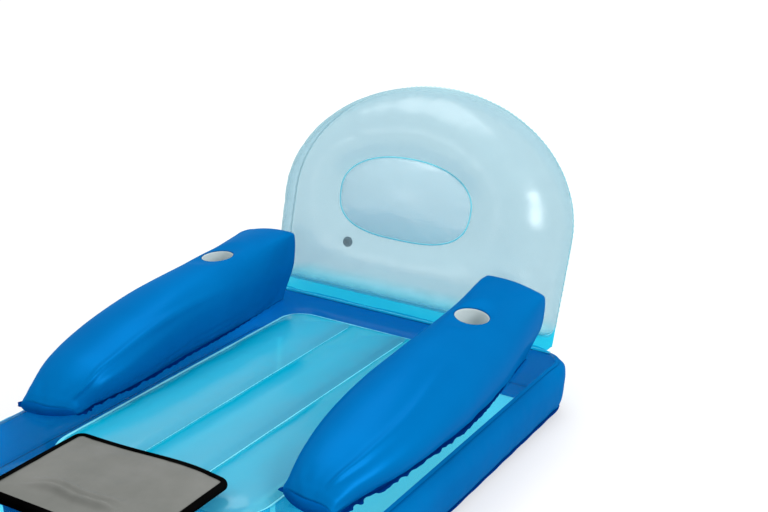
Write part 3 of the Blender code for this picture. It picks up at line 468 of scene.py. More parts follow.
def woven(name, dark, light, roughness, scale, strength, specular=0.12):
    """Coated or woven cloth with a fine grain."""
    material, tree, shader = new_material(name, {"Roughness": roughness, "Specular IOR Level": specular})
    place = add(tree, "TexCoord").outputs["Object"]
    threads = {"Vector": place, "Scale": scale, "Distortion": 0.6}
    waves = [add(tree, "TexWave", threads, bands_direction=axis).outputs["Fac"] for axis in ("X", "Y")]
    add_bumps(tree, shader, [(wave, strength) for wave in waves], 0.0002)
    tone(tree, place, shader, dark, light, 14.0)
    return material


BLUE_SHINE = (0.03, 0.5, 1.0)
ROYAL = solid_film(
    "royal_blue_vinyl", (0.0, 0.130, 0.385), (0.0, 0.150, 0.43), 0.38, 0.20, 0.0, BLUE_SHINE, sheen=0.05)
# Painted shade: a darker royal for the armrests' front ends, which are the same vinyl
SHADED_ENDS = solid_film("royal_blue_end_painted_shade", (0.0, 0.075, 0.28), (0.0, 0.095, 0.33), 0.45, 0.12, 0.0, BLUE_SHINE)
# Painted light: a lighter royal that glows, for inner faces, as if lit through the band
LIGHTENED_INSIDE = solid_film(
    "royal_blue_inside_painted_light", (0.0, 0.24, 0.66), (0.0, 0.27, 0.72), 0.5, 0.0, 0.0, painted_glow=(0.0, 0.030, 0.05))
# Double film of the welds, darkened further with painted shade as under the flanges
NAVY = solid_film("royal_blue_weld_and_shade", (0.0, 0.026, 0.17), (0.0, 0.045, 0.24), 0.45, 0.2, 0.0, BLUE_SHINE)
RING = clear_film(
    "clear_ring_vinyl", ((0.80, 0.95, 0.98), (0.72, 0.94, 0.975), (0.62, 0.90, 0.96)),
    ((0.05, 0.65, 0.85), (0.02, 0.58, 0.82), (0.0, 0.44, 0.74)), (0.02, 0.025, 0.12), 0.2, 0.05)
SEAT = clear_film(
    "turquoise_seat_vinyl", ((0.70, 0.95, 0.98), (0.50, 0.93, 0.975), (0.02, 0.68, 0.91)),
    ((0.10, 0.48, 0.63), (0.045, 0.53, 0.72), (0.0, 0.42, 0.60)), (0.48, 0.54, 0.94), 0.2, 0.050,
    (0.42, 0.60, 0.70))
WELD = clear_film(
    "turquoise_weld", ((0.5, 0.9, 0.96), (0.4, 0.88, 0.97), (0.2, 0.75, 0.92)),
    ((0.22, 0.84, 0.98), (0.16, 0.80, 0.98), (0.04, 0.62, 0.90)), (0.85, 0.9, 0.95), 0.3)
# Painted light: the seam's film glows a little
SEAM = clear_film(
    "backrest_seam", ((0.94, 0.985, 0.99), (0.92, 0.98, 0.99), (0.88, 0.965, 0.98)),
    ((0.34, 0.80, 0.88), (0.28, 0.76, 0.86), (0.16, 0.66, 0.78)), (0.12, 0.15, 0.30), 0.2, painted_glow=0.10)
# Painted light: the bottom film glows, brightening what shows through the top film
FLOORFILM = clear_film(
    "pale_bottom_vinyl", ((0.6, 0.94, 0.975), (0.5, 0.93, 0.97), (0.4, 0.84, 0.94)),
    ((0.36, 0.95, 1.0), (0.26, 0.92, 1.0), (0.12, 0.8, 0.95)), (0.55, 0.6, 0.7), 0.2, painted_glow=0.30)
PALE = clear_film(
    "pale_backrest_vinyl", ((0.83, 0.910, 0.935), (0.79, 0.893, 0.925), (0.73, 0.875, 0.905)),
    ((0.48, 0.70, 0.77), (0.41, 0.66, 0.75), (0.38, 0.69, 0.78)), (0.08, 0.12, 0.34), 0.28, 0.95,
    foot=(0.132, 0.186, (0.42, 0.92, 0.97), (0.02, 0.68, 0.90), 0.32))
# Painted light: the pillow's film is clearer and whiter than the chamber's, as if lit from the front
PILLOW = clear_film(
    "pale_pillow_vinyl_lightened", ((0.92, 0.97, 0.985), (0.87, 0.955, 0.975), (0.70, 0.89, 0.94)),
    ((0.70, 0.88, 0.95), (0.60, 0.84, 0.93), (0.40, 0.76, 0.87)), (0.22, 0.24, 0.46), 0.27, 0.95)
# Painted light: the band's film glows a little
BANDFILM = clear_film(
    "turquoise_band_vinyl", ((0.25, 0.88, 0.95), (0.2, 0.86, 0.94), (0.1, 0.72, 0.88)),
    ((0.03, 0.80, 0.98), (0.02, 0.76, 0.96), (0.0, 0.64, 0.88)), (0.6, 0.65, 0.8), 0.2, painted_glow=0.12)
# Painted light: the webs' film glows a little
INNER = clear_film(
    "milky_web_film", ((0.6, 0.93, 0.975), (0.55, 0.92, 0.97), (0.4, 0.86, 0.94)),
    ((0.06, 0.74, 0.94), (0.05, 0.72, 0.93), (0.02, 0.62, 0.86)), (0.60, 0.66, 0.78), 0.3, painted_glow=0.08)
WELL = solid_film("cup_well_vinyl", (0.50, 0.58, 0.60), (0.60, 0.68, 0.70), 0.4, 0.0, 0.2)
LID_CLOTH = woven("silver_grey_cloth", (0.148, 0.154, 0.142), (0.180, 0.184, 0.172), 0.55, 420.0, 0.15)
TAPE = woven("black_binding", (0.0008, 0.0008, 0.0008), (0.003, 0.003, 0.003), 0.95, 500.0, 0.4, 0.0)
FOIL = solid_film("foil_lining", (0.50, 0.51, 0.52), (0.62, 0.63, 0.64), 0.25, 0.6, 0.5)
FOAM = woven("white_foam", (0.72, 0.72, 0.70), (0.80, 0.80, 0.78), 0.9, 300.0, 0.4)
VALVE = solid_film("valve_vinyl", (0.008, 0.055, 0.09), (0.016, 0.09, 0.13), 0.25, 0.0, 0.3)


# Base: the clear top film, the blue band round it and the film under it
CHANNELS = [
    np.array([(side * CHANNEL_X, low + CHANNEL_END), (side * CHANNEL_X, high - CHANNEL_END)])
    for _, low, high, *_ in (SEAT_PANEL, FOOT_PANEL) for side in (-1, 1)
]
# Steps along each weld's run, so that the folds of different welds differ
FOOT_RUN, CHANNEL_RUN = 7.0, 3.0
RING_REACH, RING_SOFT, MIDLINE_BLEND = 0.070, 0.0010, 0.022


def crowned(distance, span, power=0.46):
    t = np.clip(distance / span, 0.0, 1.0)
    return (1.0 - (1.0 - t) ** 2) ** power


def top_height(points):
    """Height of the clear top film's upper face at plan points, with its folds."""
    margin, rim = base_outline(TOP_SEAM_INSET + SEAM_LIP), grown(MOUTH, RIM_WIDTH)
    seat, foot = grown(SEAT_PANEL), grown(FOOT_PANEL)
    to_margin, s_margin = nearest(points, margin)
    to_margin = np.where(inside(points, margin), to_margin, 0.0)
    to_seat, s_seat = nearest(points, seat)
    to_foot, s_foot = nearest(points, foot)
    to_rim, s_rim = nearest(points, rim)
    to_rim = np.where(inside(points, rim), 0.0, to_rim)
    to_lines, s_lines = zip(*(nearest(points, line, False) for line in CHANNELS))
    to_line, s_line = np.min(to_lines, 0), np.choose(np.argmin(to_lines, 0), s_lines)
    to_panel = np.minimum(to_seat, to_foot)
    s_panel = np.where(to_seat < to_foot, s_seat, s_foot + FOOT_RUN)

    near = np.maximum(np.minimum(to_panel, to_line) - WELD_HALF, 0.0)
    along = np.where(to_panel < to_line, s_panel, s_line + CHANNEL_RUN)
    channel = (SEAT_PANEL[0] - CHANNEL_X) / 2
    seat_z = WELD_Z + SEAT_CROWN * crowned(near, channel, 0.55)
    seat_z += folds(near, along, 1, (0.0007, 0.007, 0.018), (0.0009, 0.024, 0.070))
    seat_z += 0.0007 * ripple(points[:, 0] / 0.13, points[:, 1] / 0.24, seed=3) * crowned(near, channel)

    # The ring's height between its welds, then its crown, fuller towards the rim and the panels
    weights = [1.0 / (distance + 1e-9) ** 2 for distance in (to_margin, to_panel, to_rim)]
    level = weights[0] * (TOP_SEAM_Z + GAP + FILM) + weights[1] * WELD_Z + weights[2] * MOUTH_Z
    level = level / sum(weights)
    gap = np.maximum(np.minimum(np.minimum(to_margin, to_panel - WELD_HALF), to_rim), 0.0)
    at_margin, at_panel = to_margin <= np.minimum(to_panel, to_rim), to_panel <= to_rim
    along = np.select([at_margin, at_panel], [s_margin, s_panel], s_rim)
    inward = smooth(to_margin - np.minimum(to_panel, to_rim), -MIDLINE_BLEND, MIDLINE_BLEND)
    ring_z = level + RING_CROWN * crowned(gap, RING_REACH, 0.52 + 0.34 * inward)
    ring_z += (1.0 - 0.75 * inward) * folds(gap, along, 4, (0.0012, 0.010, 0.020), (0.0018, 0.026, 0.065))
    limit = np.maximum(ARM_SEAT_Z - 0.0005, level)
    ring_z = limit - RING_SOFT * np.log1p(np.exp(np.clip((limit - ring_z) / RING_SOFT, -30.0, 30.0)))
    return np.where(inside(points, seat) | inside(points, foot), seat_z, ring_z)


def corner_push(points, share):
    """Moves plan points near the base's corners outwards, as the full film does there."""
    near = smooth(abs(points), BASE_HALF - 0.125, BASE_HALF - 0.035).prod(1)
    return points + np.sign(points) * (CORNER_PUSH * near * share)[:, None]


def stadium(line):
    """The weld round a channel's line: straight sides and round ends."""
    (x, low), (_, high) = line
    turn = np.linspace(0.0, math.pi, 7)
    return np.array(arc(x, high, WELD_HALF, WELD_HALF, turn) + arc(x, low, -WELD_HALF, -WELD_HALF, turn))


def make_top_film():
    edge = even(base_outline(TOP_SEAM_INSET), 0.008)
    mouth = even(grown(MOUTH), 0.006)
    lip, rim = base_outline(TOP_SEAM_INSET + SEAM_LIP), grown(MOUTH, RIM_WIDTH)
    loops = [edge, even(lip, 0.008), mouth, even(rim, 0.006)]
    for panel in (SEAT_PANEL, FOOT_PANEL):
        loops += [even(grown(panel, out), 0.006) for out in (-WELD_HALF, WELD_HALF, RING_WELD)]
    loops += [even(stadium(line), 0.005) for line in CHANNELS]
    flat, faces, middles = fill(loops, edge, step=0.0075, keep_off=0.0028, hole=mouth)
    pushed = corner_push(flat, fall(nearest(flat, edge)[0], 0.0, 0.07))
    vertices, faces = used_only(np.column_stack([pushed, top_height(flat)]), faces)
    panels = [grown(SEAT_PANEL), grown(FOOT_PANEL)]
    weld = [nearest(middles, outline)[0] for outline in panels]
    weld = np.min(weld + [nearest(middles, line, False)[0] for line in CHANNELS], 0)
    panel = np.any([inside(middles, outline) for outline in panels], 0)
    lip = nearest(middles, edge)[0] < SEAM_LIP * 0.85
    wide = np.where(panel, WELD_HALF * 1.05, RING_WELD)
    slots = np.where(weld < wide, 1, np.where(panel, 2, np.where(lip, 3, 0)))
    materials = [RING, WELD, SEAT, ROYAL]
    piece("seat_top_film", vertices, faces, materials, "base", "top_film", FILM_WALL, slots, flat=1)


def base_ring(step):
    """Even points round the base's widest line, and the direction outwards at each."""
    ring = even(base_outline(0.0, 16), step)
    normal = ring - np.clip(ring, -BASE_CORE, BASE_CORE)
    return ring, normal / np.linalg.norm(normal, axis=1)[:, None]


def make_side_band():
    """The bulging band, drawn in at its seams, with puckers that deepen in the corners."""
    profile = np.array([
        (0.017, 0.018), (0.0125, 0.0184), (0.0085, 0.021), (0.0045, 0.029), (0.0010, 0.042), (0.0, 0.054),
        (0.0, 0.068), (0.0006, 0.080), (0.0030, 0.092), (0.0085, 0.105), (0.0150, 0.1125),
        (0.0215, 0.1168), (0.0300, 0.1175),
    ])
    order = np.arange(len(profile))
    at = np.linspace(0, len(profile) - 1, 37)
    insets, heights = np.maximum(spline(order, profile[:, 0], at), 0.0), spline(order, profile[:, 1], at)
    columns, belly = 760, 18
    step = BASE_LENGTH * 2.9 / columns
    ring, outward = (part[:columns] for part in base_ring(step))
    grid = np.array([np.column_stack([ring - outward * inset, np.full(columns, height)])
                     for inset, height in zip(insets, heights)])
    run = np.arange(columns) * step
    begins, full = BASE_HALF - BASE_CORNER * np.array([1.5, 1.6]), BASE_HALF - np.array([0.02, 0.06])
    at_corner = smooth(abs(grid[belly, :, :2]), begins, full).prod(1)
    depth = np.zeros(grid.shape[:2])
    for distance, seed in ((heights - BOTTOM_SEAM_Z, 11), (TOP_SEAM_Z - heights, 12)):
        d = np.maximum(distance, 0.0)[:, None]
        depth += (0.0010 + 0.0022 * at_corner) * puckers(d, run, 0.012, 0.022, seed)
        depth += (0.0012 + 0.0016 * at_corner) * puckers(d, run, 0.030, 0.070, seed + 4)
    grid = grid + normals_of(grid) * depth[..., None]
    for row, height in zip(grid, heights):
        row[:, :2] = corner_push(row[:, :2], smooth(height, 0.070, 0.114))
    faces = sheet_faces(len(heights), columns)
    # The band's inner face takes the lightened, glowing royal: painted light
    films = [ROYAL, LIGHTENED_INSIDE]
    piece("base_side_band", grid.reshape(-1, 3), faces, films, "base", "side_band", BLUE_WALL, inner=1)


def make_bottom_film():
    length, count, arc_limit = 4.8, 300, 0.095
    ring, outward = base_ring(length / count)
    run = np.arange(len(ring)) * length / count
    top = BOTTOM_SEAM_Z - GAP
    rows = []
    for inset, height, wave in (
        (0.0045, top, 0.0007), (0.012, top, 0.0003), (0.018, top, 0.0), (0.024, 0.0125, 0.0),
        (0.032, 0.0072, 0.0), (0.042, 0.0030, 0.0), (0.050, 0.0013, 0.0), (0.055, FILM, 0.0),
        (0.12, FILM, 0.0), (0.24, FILM, 0.0),
    ):
        inner = ring - outward * min(inset, arc_limit)
        if inset > arc_limit:
            inner = inner * ((BASE_HALF - inset) / (BASE_HALF - arc_limit))
        rows.append(np.column_stack([inner, height + wave * np.sin(run / 0.013)]))
    # Outer rows: weld navy, partly painted shade; next rows: lightened royal; the rest glows; both painted
    # light
    vertices, faces, slots = closed_sheet(rows, [1, 1, 2, 2, 2, 2, 2])
    materials = [FLOORFILM, NAVY, LIGHTENED_INSIDE]
    piece("base_bottom_film", vertices, faces, materials, "base", "bottom_film", FILM_WALL, slots)


make_top_film()
make_side_band()
make_bottom_film()


# Armrests
def arm_value(along, values):
    front, middle, rear = values
    in_rear = middle + (rear - middle) * (along * 2 - 1)
    return np.where(along < 0.5, front + (middle - front) * along * 2, in_rear)


def arm_grid(along, turn):
    """Points of the right-hand armrest's skin; turn is 0 at the outer foot and 1 at the inner foot."""
    stations = ARM_SHARES[:, 0]
    width = spline(stations, ARM_SHARES[:, 1], along) * ARM_WIDTH
    height = spline(stations, ARM_SHARES[:, 2], along) * ARM_HEIGHT
    square = np.clip(spline(stations, ARM_SHARES[:, 3], along), 0.0, 1.0)
    top = 1.0 - 2.0 * np.linspace(0.0, 1.0, 7)[1:-1]
    ends = []
    for shares in (ARM_NOSE, ARM_END):
        half = np.array(shares)
        flat = np.column_stack([half[-1, 0] * top, half[-1, 1] + 0.045 * (1 - top**2)])
        end = np.vstack([half, flat, (half * (-1, 1))[::-1]])
        knots = np.linspace(0.0, 1.0, len(end))
        ends.append((spline(knots, end[:, 0], turn), spline(knots, end[:, 1], turn)))
    rear = smooth(along, 0.3, 0.6)[:, None]
    end_x, end_z = (ends[0][k] * (1 - rear) + ends[1][k] * rear for k in (0, 1))
    angle = -ARM_FOOT_ANGLE + (math.pi + 2 * ARM_FOOT_ANGLE) * turn
    upper = (angle > 0) & (angle < math.pi)
    rise = np.where(upper, 1 - ARM_WIDEST, ARM_WIDEST / math.sin(ARM_FOOT_ANGLE))
    round_x, round_z = np.cos(angle), ARM_WIDEST + rise * np.sin(angle)
    share = square[:, None]
    dx = width[:, None] * (round_x + (end_x - round_x) * share)
    lift = round_z + (end_z - round_z) * share
    y = (ARM_FRONT + ARM_LENGTH * along)[:, None] + 0 * dx
    x = arm_value(along, ARM_OFFSETS)[:, None] + dx
    z = ARM_FOOT_Z + lift * (height[:, None] - arm_value(along, ARM_SLOPES)[:, None] * dx)

    # The flat round the cup, and the skin that comes down to it
    reach = np.hypot(x - CUP[0], y - CUP[1])
    plane = CUP[2] - CUP_SLOPES[0] * (x - CUP[0]) + CUP_SLOPES[1] * (y - CUP[1])
    near = fall(reach, *CUP_FLAT) * (lift > ARM_WIDEST)
    wide = fall(reach, *CUP_BLEND) * (lift > ARM_WIDEST)
    z = z + (plane - z) * near + np.minimum(plane - z, 0.0) * (1.0 - near) * wide
    return np.stack([x, y, z], -1), lift, fall(reach, 0.042, 0.075)


def arm_surface(label, side, seed):
    """The right-hand armrest's skin as this side's film lies, with its shares and lengths along it."""
    along = np.concatenate([
        np.linspace(0, 0.1, 26)[:-1], np.linspace(0.1, 0.9, 112)[:-1], np.linspace(0.9, 1, 26)])
    turn = np.linspace(0.0, 1.0, 97)
    grid, lift, blend = arm_grid(along, turn)
    share = along[:, None]
    back, corner, wide_outer, wide_inner = NOSE_PULL[label]
    at_nose = fall(share, 0.0, 0.17)
    outer_half, inner_half = fall(turn, 0.0, 0.5), smooth(turn, 0.5, 1.0)
    grid[..., 1] += at_nose * (back + corner * inner_half)
    grid[..., 0] += at_nose * (wide_outer * outer_half - wide_inner * inner_half)
    normal = -normals_of(grid, closed=False)
    run = share * ARM_LENGTH + 0 * turn
    near_ends = np.minimum(share, 1 - share) * ARM_LENGTH
    foot = lift * ARM_HEIGHT

    fold = folds(foot, run, seed, (0.0014, 0.012, 0.020), (0.0016, 0.030, 0.055))
    front = fall(share, 0.0, 0.2)
    fold += (0.0008 + 0.0006 * front) * puckers(near_ends, turn * 0.40, 0.014, 0.026, seed + 2)
    fold += 0.0012 * ripple(run / 0.18, turn / 0.30, seed=seed + 3)

    # The ridge that runs back from the front end
    ridge_at = 0.735 - 0.055 * smooth(share, 0.02, 0.16) + 0.055 * smooth(share, 0.22, 0.66)
    if side > 0:
        ridge_at = 0.37 + 0.05 * smooth(share, 0.25, 0.55)
    ridge = bell(turn - ridge_at, 0.024)
    fold += 0.0052 * ridge * (smooth(share, 0.01, 0.06) * fall(share, 0.30, 0.74))

    # Two creases along the inner foot
    for level, deep, wave in ((0.021, 0.0048, 0), (0.036, 0.0036, 1)):
        valley = level + 0.006 * ripple(run / 0.16, seed=seed + 5 + wave)
        crease = bell(foot - valley, 0.0042)
        reach = smooth(share, 0.10 + 0.08 * wave, 0.24) * fall(share, 0.62, 0.86 - 0.1 * wave)
        strong = 0.6 + 0.4 * ripple(run / 0.09, seed=seed + 7 + wave)
        fold -= deep * strong * crease * (turn > 0.5) * reach
    fold = fold * (1 - blend) * smooth(foot, 0.0, 0.004) * smooth(near_ends, -0.001, 0.006)
    return grid + normal * fold[..., None], along, run[:, 0]


def add_flanges(grid, along, run, seed):
    """Adds the wavy weld flange outside each foot, which narrows towards the rear."""
    wave = ripple(run / 0.0145, seed=seed + 6)
    wide = 0.0145 + 0.0058 * wave * fall(along, 0.38, 0.62)
    wide = wide * (1.0 - 0.80 * smooth(along, 0.60, 0.90))
    up = 0.0012 * (1 + np.sin(run / 0.0042 + 2.0 * wave))
    out = np.column_stack([wide, 0 * wide, up])
    back = np.column_stack([-0.7 * wide, 0 * wide, up])
    outer, inner = grid[:, 0], grid[:, -1]
    outer_flange = np.stack([outer + out, outer + 0.5 * out], 1)
    inner_flange = np.stack([inner + 0.5 * back, inner + back], 1)
    return np.concatenate([outer_flange, grid, inner_flange], 1)


def cut_cup(points, faces, slots):
    """Cuts the cup's hole: faces near it give way to triangles up to a circle with a turned-in rim."""
    middle, tilt = np.array(CUP), np.array([CUP_SLOPES[0], -CUP_SLOPES[1], 1.0])
    tilt /= np.linalg.norm(tilt)
    axis_x = np.cross([0, 1, 0], tilt)
    axis_x /= np.linalg.norm(axis_x)
    axis_y = np.cross(tilt, axis_x)
    reach = np.linalg.norm(np.cross(points - middle, tilt), axis=1)
    close = (reach < CUP_R + 0.0015) & (points[:, 2] > CUP[2] - 0.03)
    keep = [k for k, face in enumerate(faces) if not close[face].any()]
    gone = [face for face in faces if close[face].any()]
    edges = dict.fromkeys((a, b) for face in gone for a, b in zip(face, face[1:] + face[:1]))
    rim = {a: b for a, b in edges if (b, a) not in edges}
    loop = [next(iter(rim))]
    while rim[loop[-1]] != loop[0]:
        loop.append(rim[loop[-1]])
    count, steps = len(loop), 64
    circle = np.array([middle + CUP_R * (math.cos(t) * axis_x + math.sin(t) * axis_y)
                       for t in np.linspace(0, 2 * math.pi, steps, endpoint=False)])
    plan = [Vector(((p - middle) @ axis_x, (p - middle) @ axis_y)) for p in [*points[loop], *circle]]
    border = [(i, (i + 1) % count) for i in range(count)]
    border += [(count + i, count + (i + 1) % steps) for i in range(steps)]
    patch = delaunay_2d_cdt(plan, border, [], 0, 1e-7)[2]
    patch = [face for face in patch
             if (sum((plan[i] for i in face), Vector((0, 0))) / len(face)).length > CUP_R * 0.999]
    middles = np.array([np.mean([plan[i] for i in face], 0) for face in patch])
    outline = np.array([tuple(p) for p in plan[:count]])
    index = loop + [len(points) + i for i in range(steps)]
    added = [[index[i] for i in face] for face, good in zip(patch, inside(middles, outline)) if good]
    under = circle - tilt * 0.0004 - (circle - middle) * 0.005
    points = np.vstack([points, circle, under, circle - tilt * 0.0010])
    added += sheet_faces(3, steps, start=len(points) - 3 * steps, flip=True)
    return points, [faces[k][::-1] for k in keep] + added, [slots[k] for k in keep] + [0] * len(added)


def make_arm_end(label, side, end, section, seed):
    """Closes the tube: a rounded dome in front, a nearly flat panel behind."""
    heights = section[:, 2]
    centre = np.array([section[:, 0].mean(), section[0, 1], (heights.max() + heights.min()) / 2])
    if end == "front":
        centre[1:] = (section[0, 1] + section[-1, 1]) / 2, ARM_FOOT_Z
        # The front dome is darkened with painted shade
        way, deep, first, square, power, film = -1, 0.0210, 0.5, 0.0, 1.0, SHADED_ENDS
    else:
        way, deep, first, square, power, film = 1, 0.0030, 0.0, 0.65, 0.8, ROYAL
    turned = np.linspace(first, math.pi / 2, 14)[:-1]
    shares = np.cos(turned) / math.cos(first)
    bulges = (np.sin(turned) - math.sin(first)) / (1 - math.sin(first))
    run = np.cumsum(np.linalg.norm(np.diff(section, axis=0, prepend=section[:1]), axis=1))
    rings = []
    for share, bulge in zip(shares, bulges):
        ring = centre + (section - centre) * (share * (1 - square) + square * share**0.35)
        fold = 0.0010 * puckers((1 - share) * 0.05, run, 0.010, 0.022, seed + 9)
        ring[:, 1] += way * (deep * bulge**power + fold)
        ring[:, 2] = np.maximum(ring[:, 2], ARM_FOOT_Z)
        rings.append(ring)
    rows, columns = len(rings), len(section)
    vertices = np.vstack(rings + [rings[-1].mean(0)[None]]) * (side, 1, 1)
    last = (rows - 1) * columns
    faces = sheet_faces(rows, columns)
    faces += [[last + i, last + (i + 1) % columns, rows * columns] for i in range(columns)]
    name, node = f"armrest_{label}_{end}_end", f"armrest_{end}_panel_{label}"
    piece(name, vertices, faces, [film], "base", node, BLUE_WALL, flip=way * side > 0)


def make_armrest(label, side):
    """Skin with a hole for the cup, a wavy foot flange and crowned ends."""
    seed = 20 if side > 0 else 40
    grid, along, run = arm_surface(label, side, seed)
    skin = add_flanges(grid, along, run, seed)
    rows, columns = skin.shape[:2]
    faces = sheet_faces(rows, columns, closed=False)
    # Flange faces take the weld navy: double film, partly painted shade
    flange = (0, 1, columns - 3, columns - 2)
    slots = [1 if i % (columns - 1) in flange else 0 for i in range(len(faces))]
    points, faces, slots = cut_cup(skin.reshape(-1, 3), faces, slots)
    points, faces = used_only(points, faces)
    name, node = f"armrest_{label}_skin", f"armrest_skin_{label}"
    piece(name, points * (side, 1, 1), faces, [ROYAL, NAVY], "base", node, BLUE_WALL, slots, flip=side < 0)
    for end, section in (("front", grid[0]), ("rear", grid[-1])):
        make_arm_end(label, side, end, section, seed)


def make_cup(label, side):
    """The drawn cup: a soft rolled lip round a tapered well, turned from (radius, height) points."""
    tilt = Vector((side * CUP_SLOPES[0], -CUP_SLOPES[1], 1.0)).normalized()
    place = Matrix.Translation((side * CUP[0], CUP[1], CUP[2]))
    place = place @ tilt.to_track_quat("Z", "Y").to_matrix().to_4x4()
    r, low = CUP_R - 0.0006, -CUP_DEPTH
    profile = [
        (0.0, low + 0.0010), (r - 0.0100, low + 0.0010), (r - 0.0055, low + 0.0018),
        (r - 0.0034, low + 0.0045), (r - 0.0026, low + 0.012), (r - 0.0018, -0.040), (r - 0.0014, -0.004),
        (r - 0.0008, -0.0020), (r + 0.0006, -0.0012), (r + 0.0050, -0.0012), (r + 0.0050, -0.0018),
        (r + 0.0010, -0.0019), (r - 0.0002, -0.0030), (r - 0.0008, -0.040), (r - 0.0018, low + 0.012),
        (r - 0.0028, low + 0.0040), (r - 0.0050, low + 0.0008), (r - 0.0100, low), (0.0, low),
    ]
    steps = 72
    turn = np.linspace(0.0, 2.0 * math.pi, steps, endpoint=False)
    vertices, rows, faces = [], [], []
    for radius, height in profile:
        ring = np.column_stack([radius * np.cos(turn), radius * np.sin(turn), np.full(steps, height)])
        ring = ring[:1] if radius == 0.0 else ring
        rows.append([len(vertices) + i % len(ring) for i in range(steps)])
        vertices += ring.tolist()
    for low, high in zip(rows, rows[1:]):
        for i in range(steps):
            j = (i + 1) % steps
            faces.append(list(dict.fromkeys((high[i], high[j], low[j], low[i]))))
    node = f"cup_well_{label}"
    piece(f"cup_{label}_well", vertices, faces, [WELL], "base", node, sharp=60, place=place)


for arm_label, arm_side in (("right", 1), ("left", -1)):
    make_armrest(arm_label, arm_side)
    make_cup(arm_label, arm_side)


# Backrest: modelled upright in its own plane, then leant back
BACK = Matrix.Translation((0.0, BACK_Y, BACK_Z)) @ Matrix.Rotation(-BACK_LEAN, 4, "X")
BACK_FACE = GAP / 2 + FILM


def back_outline():
    corner, middle = BACK_CORNER, BACK_HALF - BACK_CORNER
    points = [(0.0, BACK_LOW), (middle, BACK_LOW)]
    points += arc(middle, BACK_LOW + corner, corner, corner, quarter(-90.0, 8, first=1))
    arch = [math.pi * k / 80 for k in range(81)]
    points += arc(0.0, BACK_STRAIGHT, BACK_HALF, BACK_TOP - BACK_STRAIGHT, arch)
    points += arc(-middle, BACK_LOW + corner, corner, corner, quarter(180.0, 8))
    return divided(points, 640)


def oval(points, out):
    """The pillow's outline, at the turn of each point round its middle."""
    a, b = PILLOW_HALF + out, PILLOW_TALL + out
    angle = np.arctan2((points[:, 1] - PILLOW_V) / b, points[:, 0] / a)
    x, y = np.cos(angle), np.sin(angle)
    power = np.where(y > 0, PILLOW_CURVES[0], PILLOW_CURVES[1])
    return np.stack([a * np.sign(x) * abs(x) ** power, PILLOW_V + b * np.sign(y) * abs(y) ** power], -1)


def make_back_sheet(name, node, crown, dip, way, seed):
    """One of the chamber's two films: toothed weld lip, crowned form, and a dip behind the pillow."""
    seam, run = back_outline()
    middle = oval(seam, 0.003)
    teeth = smooth(seam[:, 0] + seam[:, 1], 0.25, 0.45)
    cut = 0.0014 + 0.0013 * np.sin(run / 0.0019) + 0.0006 * ripple(run / 0.012, seed=seed)
    lip = 0.0008 + teeth * cut
    out = seam - np.roll(seam, 1, 0)
    out = np.stack([out[:, 1], -out[:, 0]], -1)
    out /= np.linalg.norm(out, axis=1)[:, None]
    foot = fall(seam[:, 1], BACK_LOW + 0.002, BACK_LOW + 0.012)
    lip = lip + foot * (0.0062 - lip)
    flutter = (1.0 - foot) * 0.0006 * np.sin(run / 0.0036 + 1.5 * ripple(run / 0.06, seed=7))
    rows = []
    for k in (1.0, 0.5):
        edge = seam + out * lip[:, None] * k
        rows.append(np.column_stack([edge[:, 0], way * BACK_FACE + flutter * k, edge[:, 1]]))
    for share in 1.0 - np.linspace(0.0, 1.0, 54) ** 1.7:
        ring = middle + (seam - middle) * share
        x, v = ring[:, 0], ring[:, 1]
        sunk = dip * max(0.0, 1.0 - share / DIP_REACH) ** 2
        rise = BACK_FACE + crown * (1.0 - share ** (3.0 if dip else 2.0)) ** BACK_RIM - sunk
        gap = np.linalg.norm(seam - ring, axis=1)
        fold = folds(gap, run, seed + 1, (0.0016, 0.009, 0.013), (0.0030, 0.030, 0.045))
        fold += 0.0020 * ripple(x / 0.12, v / 0.12, seed=seed + 3) * smooth(gap, 0.01, 0.08)
        low = fall(v, 0.06, 0.20)
        fold += 0.0013 * low * ripple(x / 0.060, v / 0.25, seed=seed + 4) * smooth(gap, 0.004, 0.03)
        rows.append(np.column_stack([x, way * (rise + fold), v]))
    vertices, faces, slots = closed_sheet(rows, [1, 1])
    # The weld lip rows take the seam film, which glows: painted light
    films = [PALE, SEAM]
    piece(name, vertices, faces, films, "backrest", node, FILM_WALL, slots, flip=way > 0, place=BACK)


def make_pillow():
    turns = np.linspace(0, 2 * math.pi, 200, endpoint=False)
    unit = np.stack([np.cos(turns) * PILLOW_HALF, PILLOW_V + np.sin(turns) * PILLOW_TALL], -1)
    level = BACK_FACE + BACK_FRONT - PILLOW_DIP + GAP + 0.0005
    rows = []
    for out, lift in ((0.0035, 0.0), (0.0020, 0.0009), (0.0004, 0.0002)):
        ring = oval(unit, out)
        rows.append(np.column_stack([ring[:, 0], np.full(len(ring), -level - lift), ring[:, 1]]))
    run = turns * (PILLOW_HALF + PILLOW_TALL) / 2
    x, v = (oval(unit, 0.0) - (0.0, PILLOW_V)).T
    for share in 1.0 - np.linspace(0.0, 0.97, 26) ** 1.6:
        gap = (1 - share) * np.hypot(x, v)
        rise = PILLOW_CROWN * max(1.0 - share**2, 0.0) ** 0.78
        fold = folds(gap, run, 71, (0.0012, 0.008, 0.014), (0.0012, 0.022, 0.040))
        rows.append(np.column_stack([x * share, -(level + rise + fold), PILLOW_V + v * share]))
    vertices, faces, slots = closed_sheet(rows, [1, 1])
    # The pillow's film is whitened with painted light
    name, node, films = "backrest_pillow_film", "backrest_pillow", [PILLOW, WELD]
    item = piece(name, vertices, faces, films, "backrest", node, FILM_WALL, slots, place=BACK)


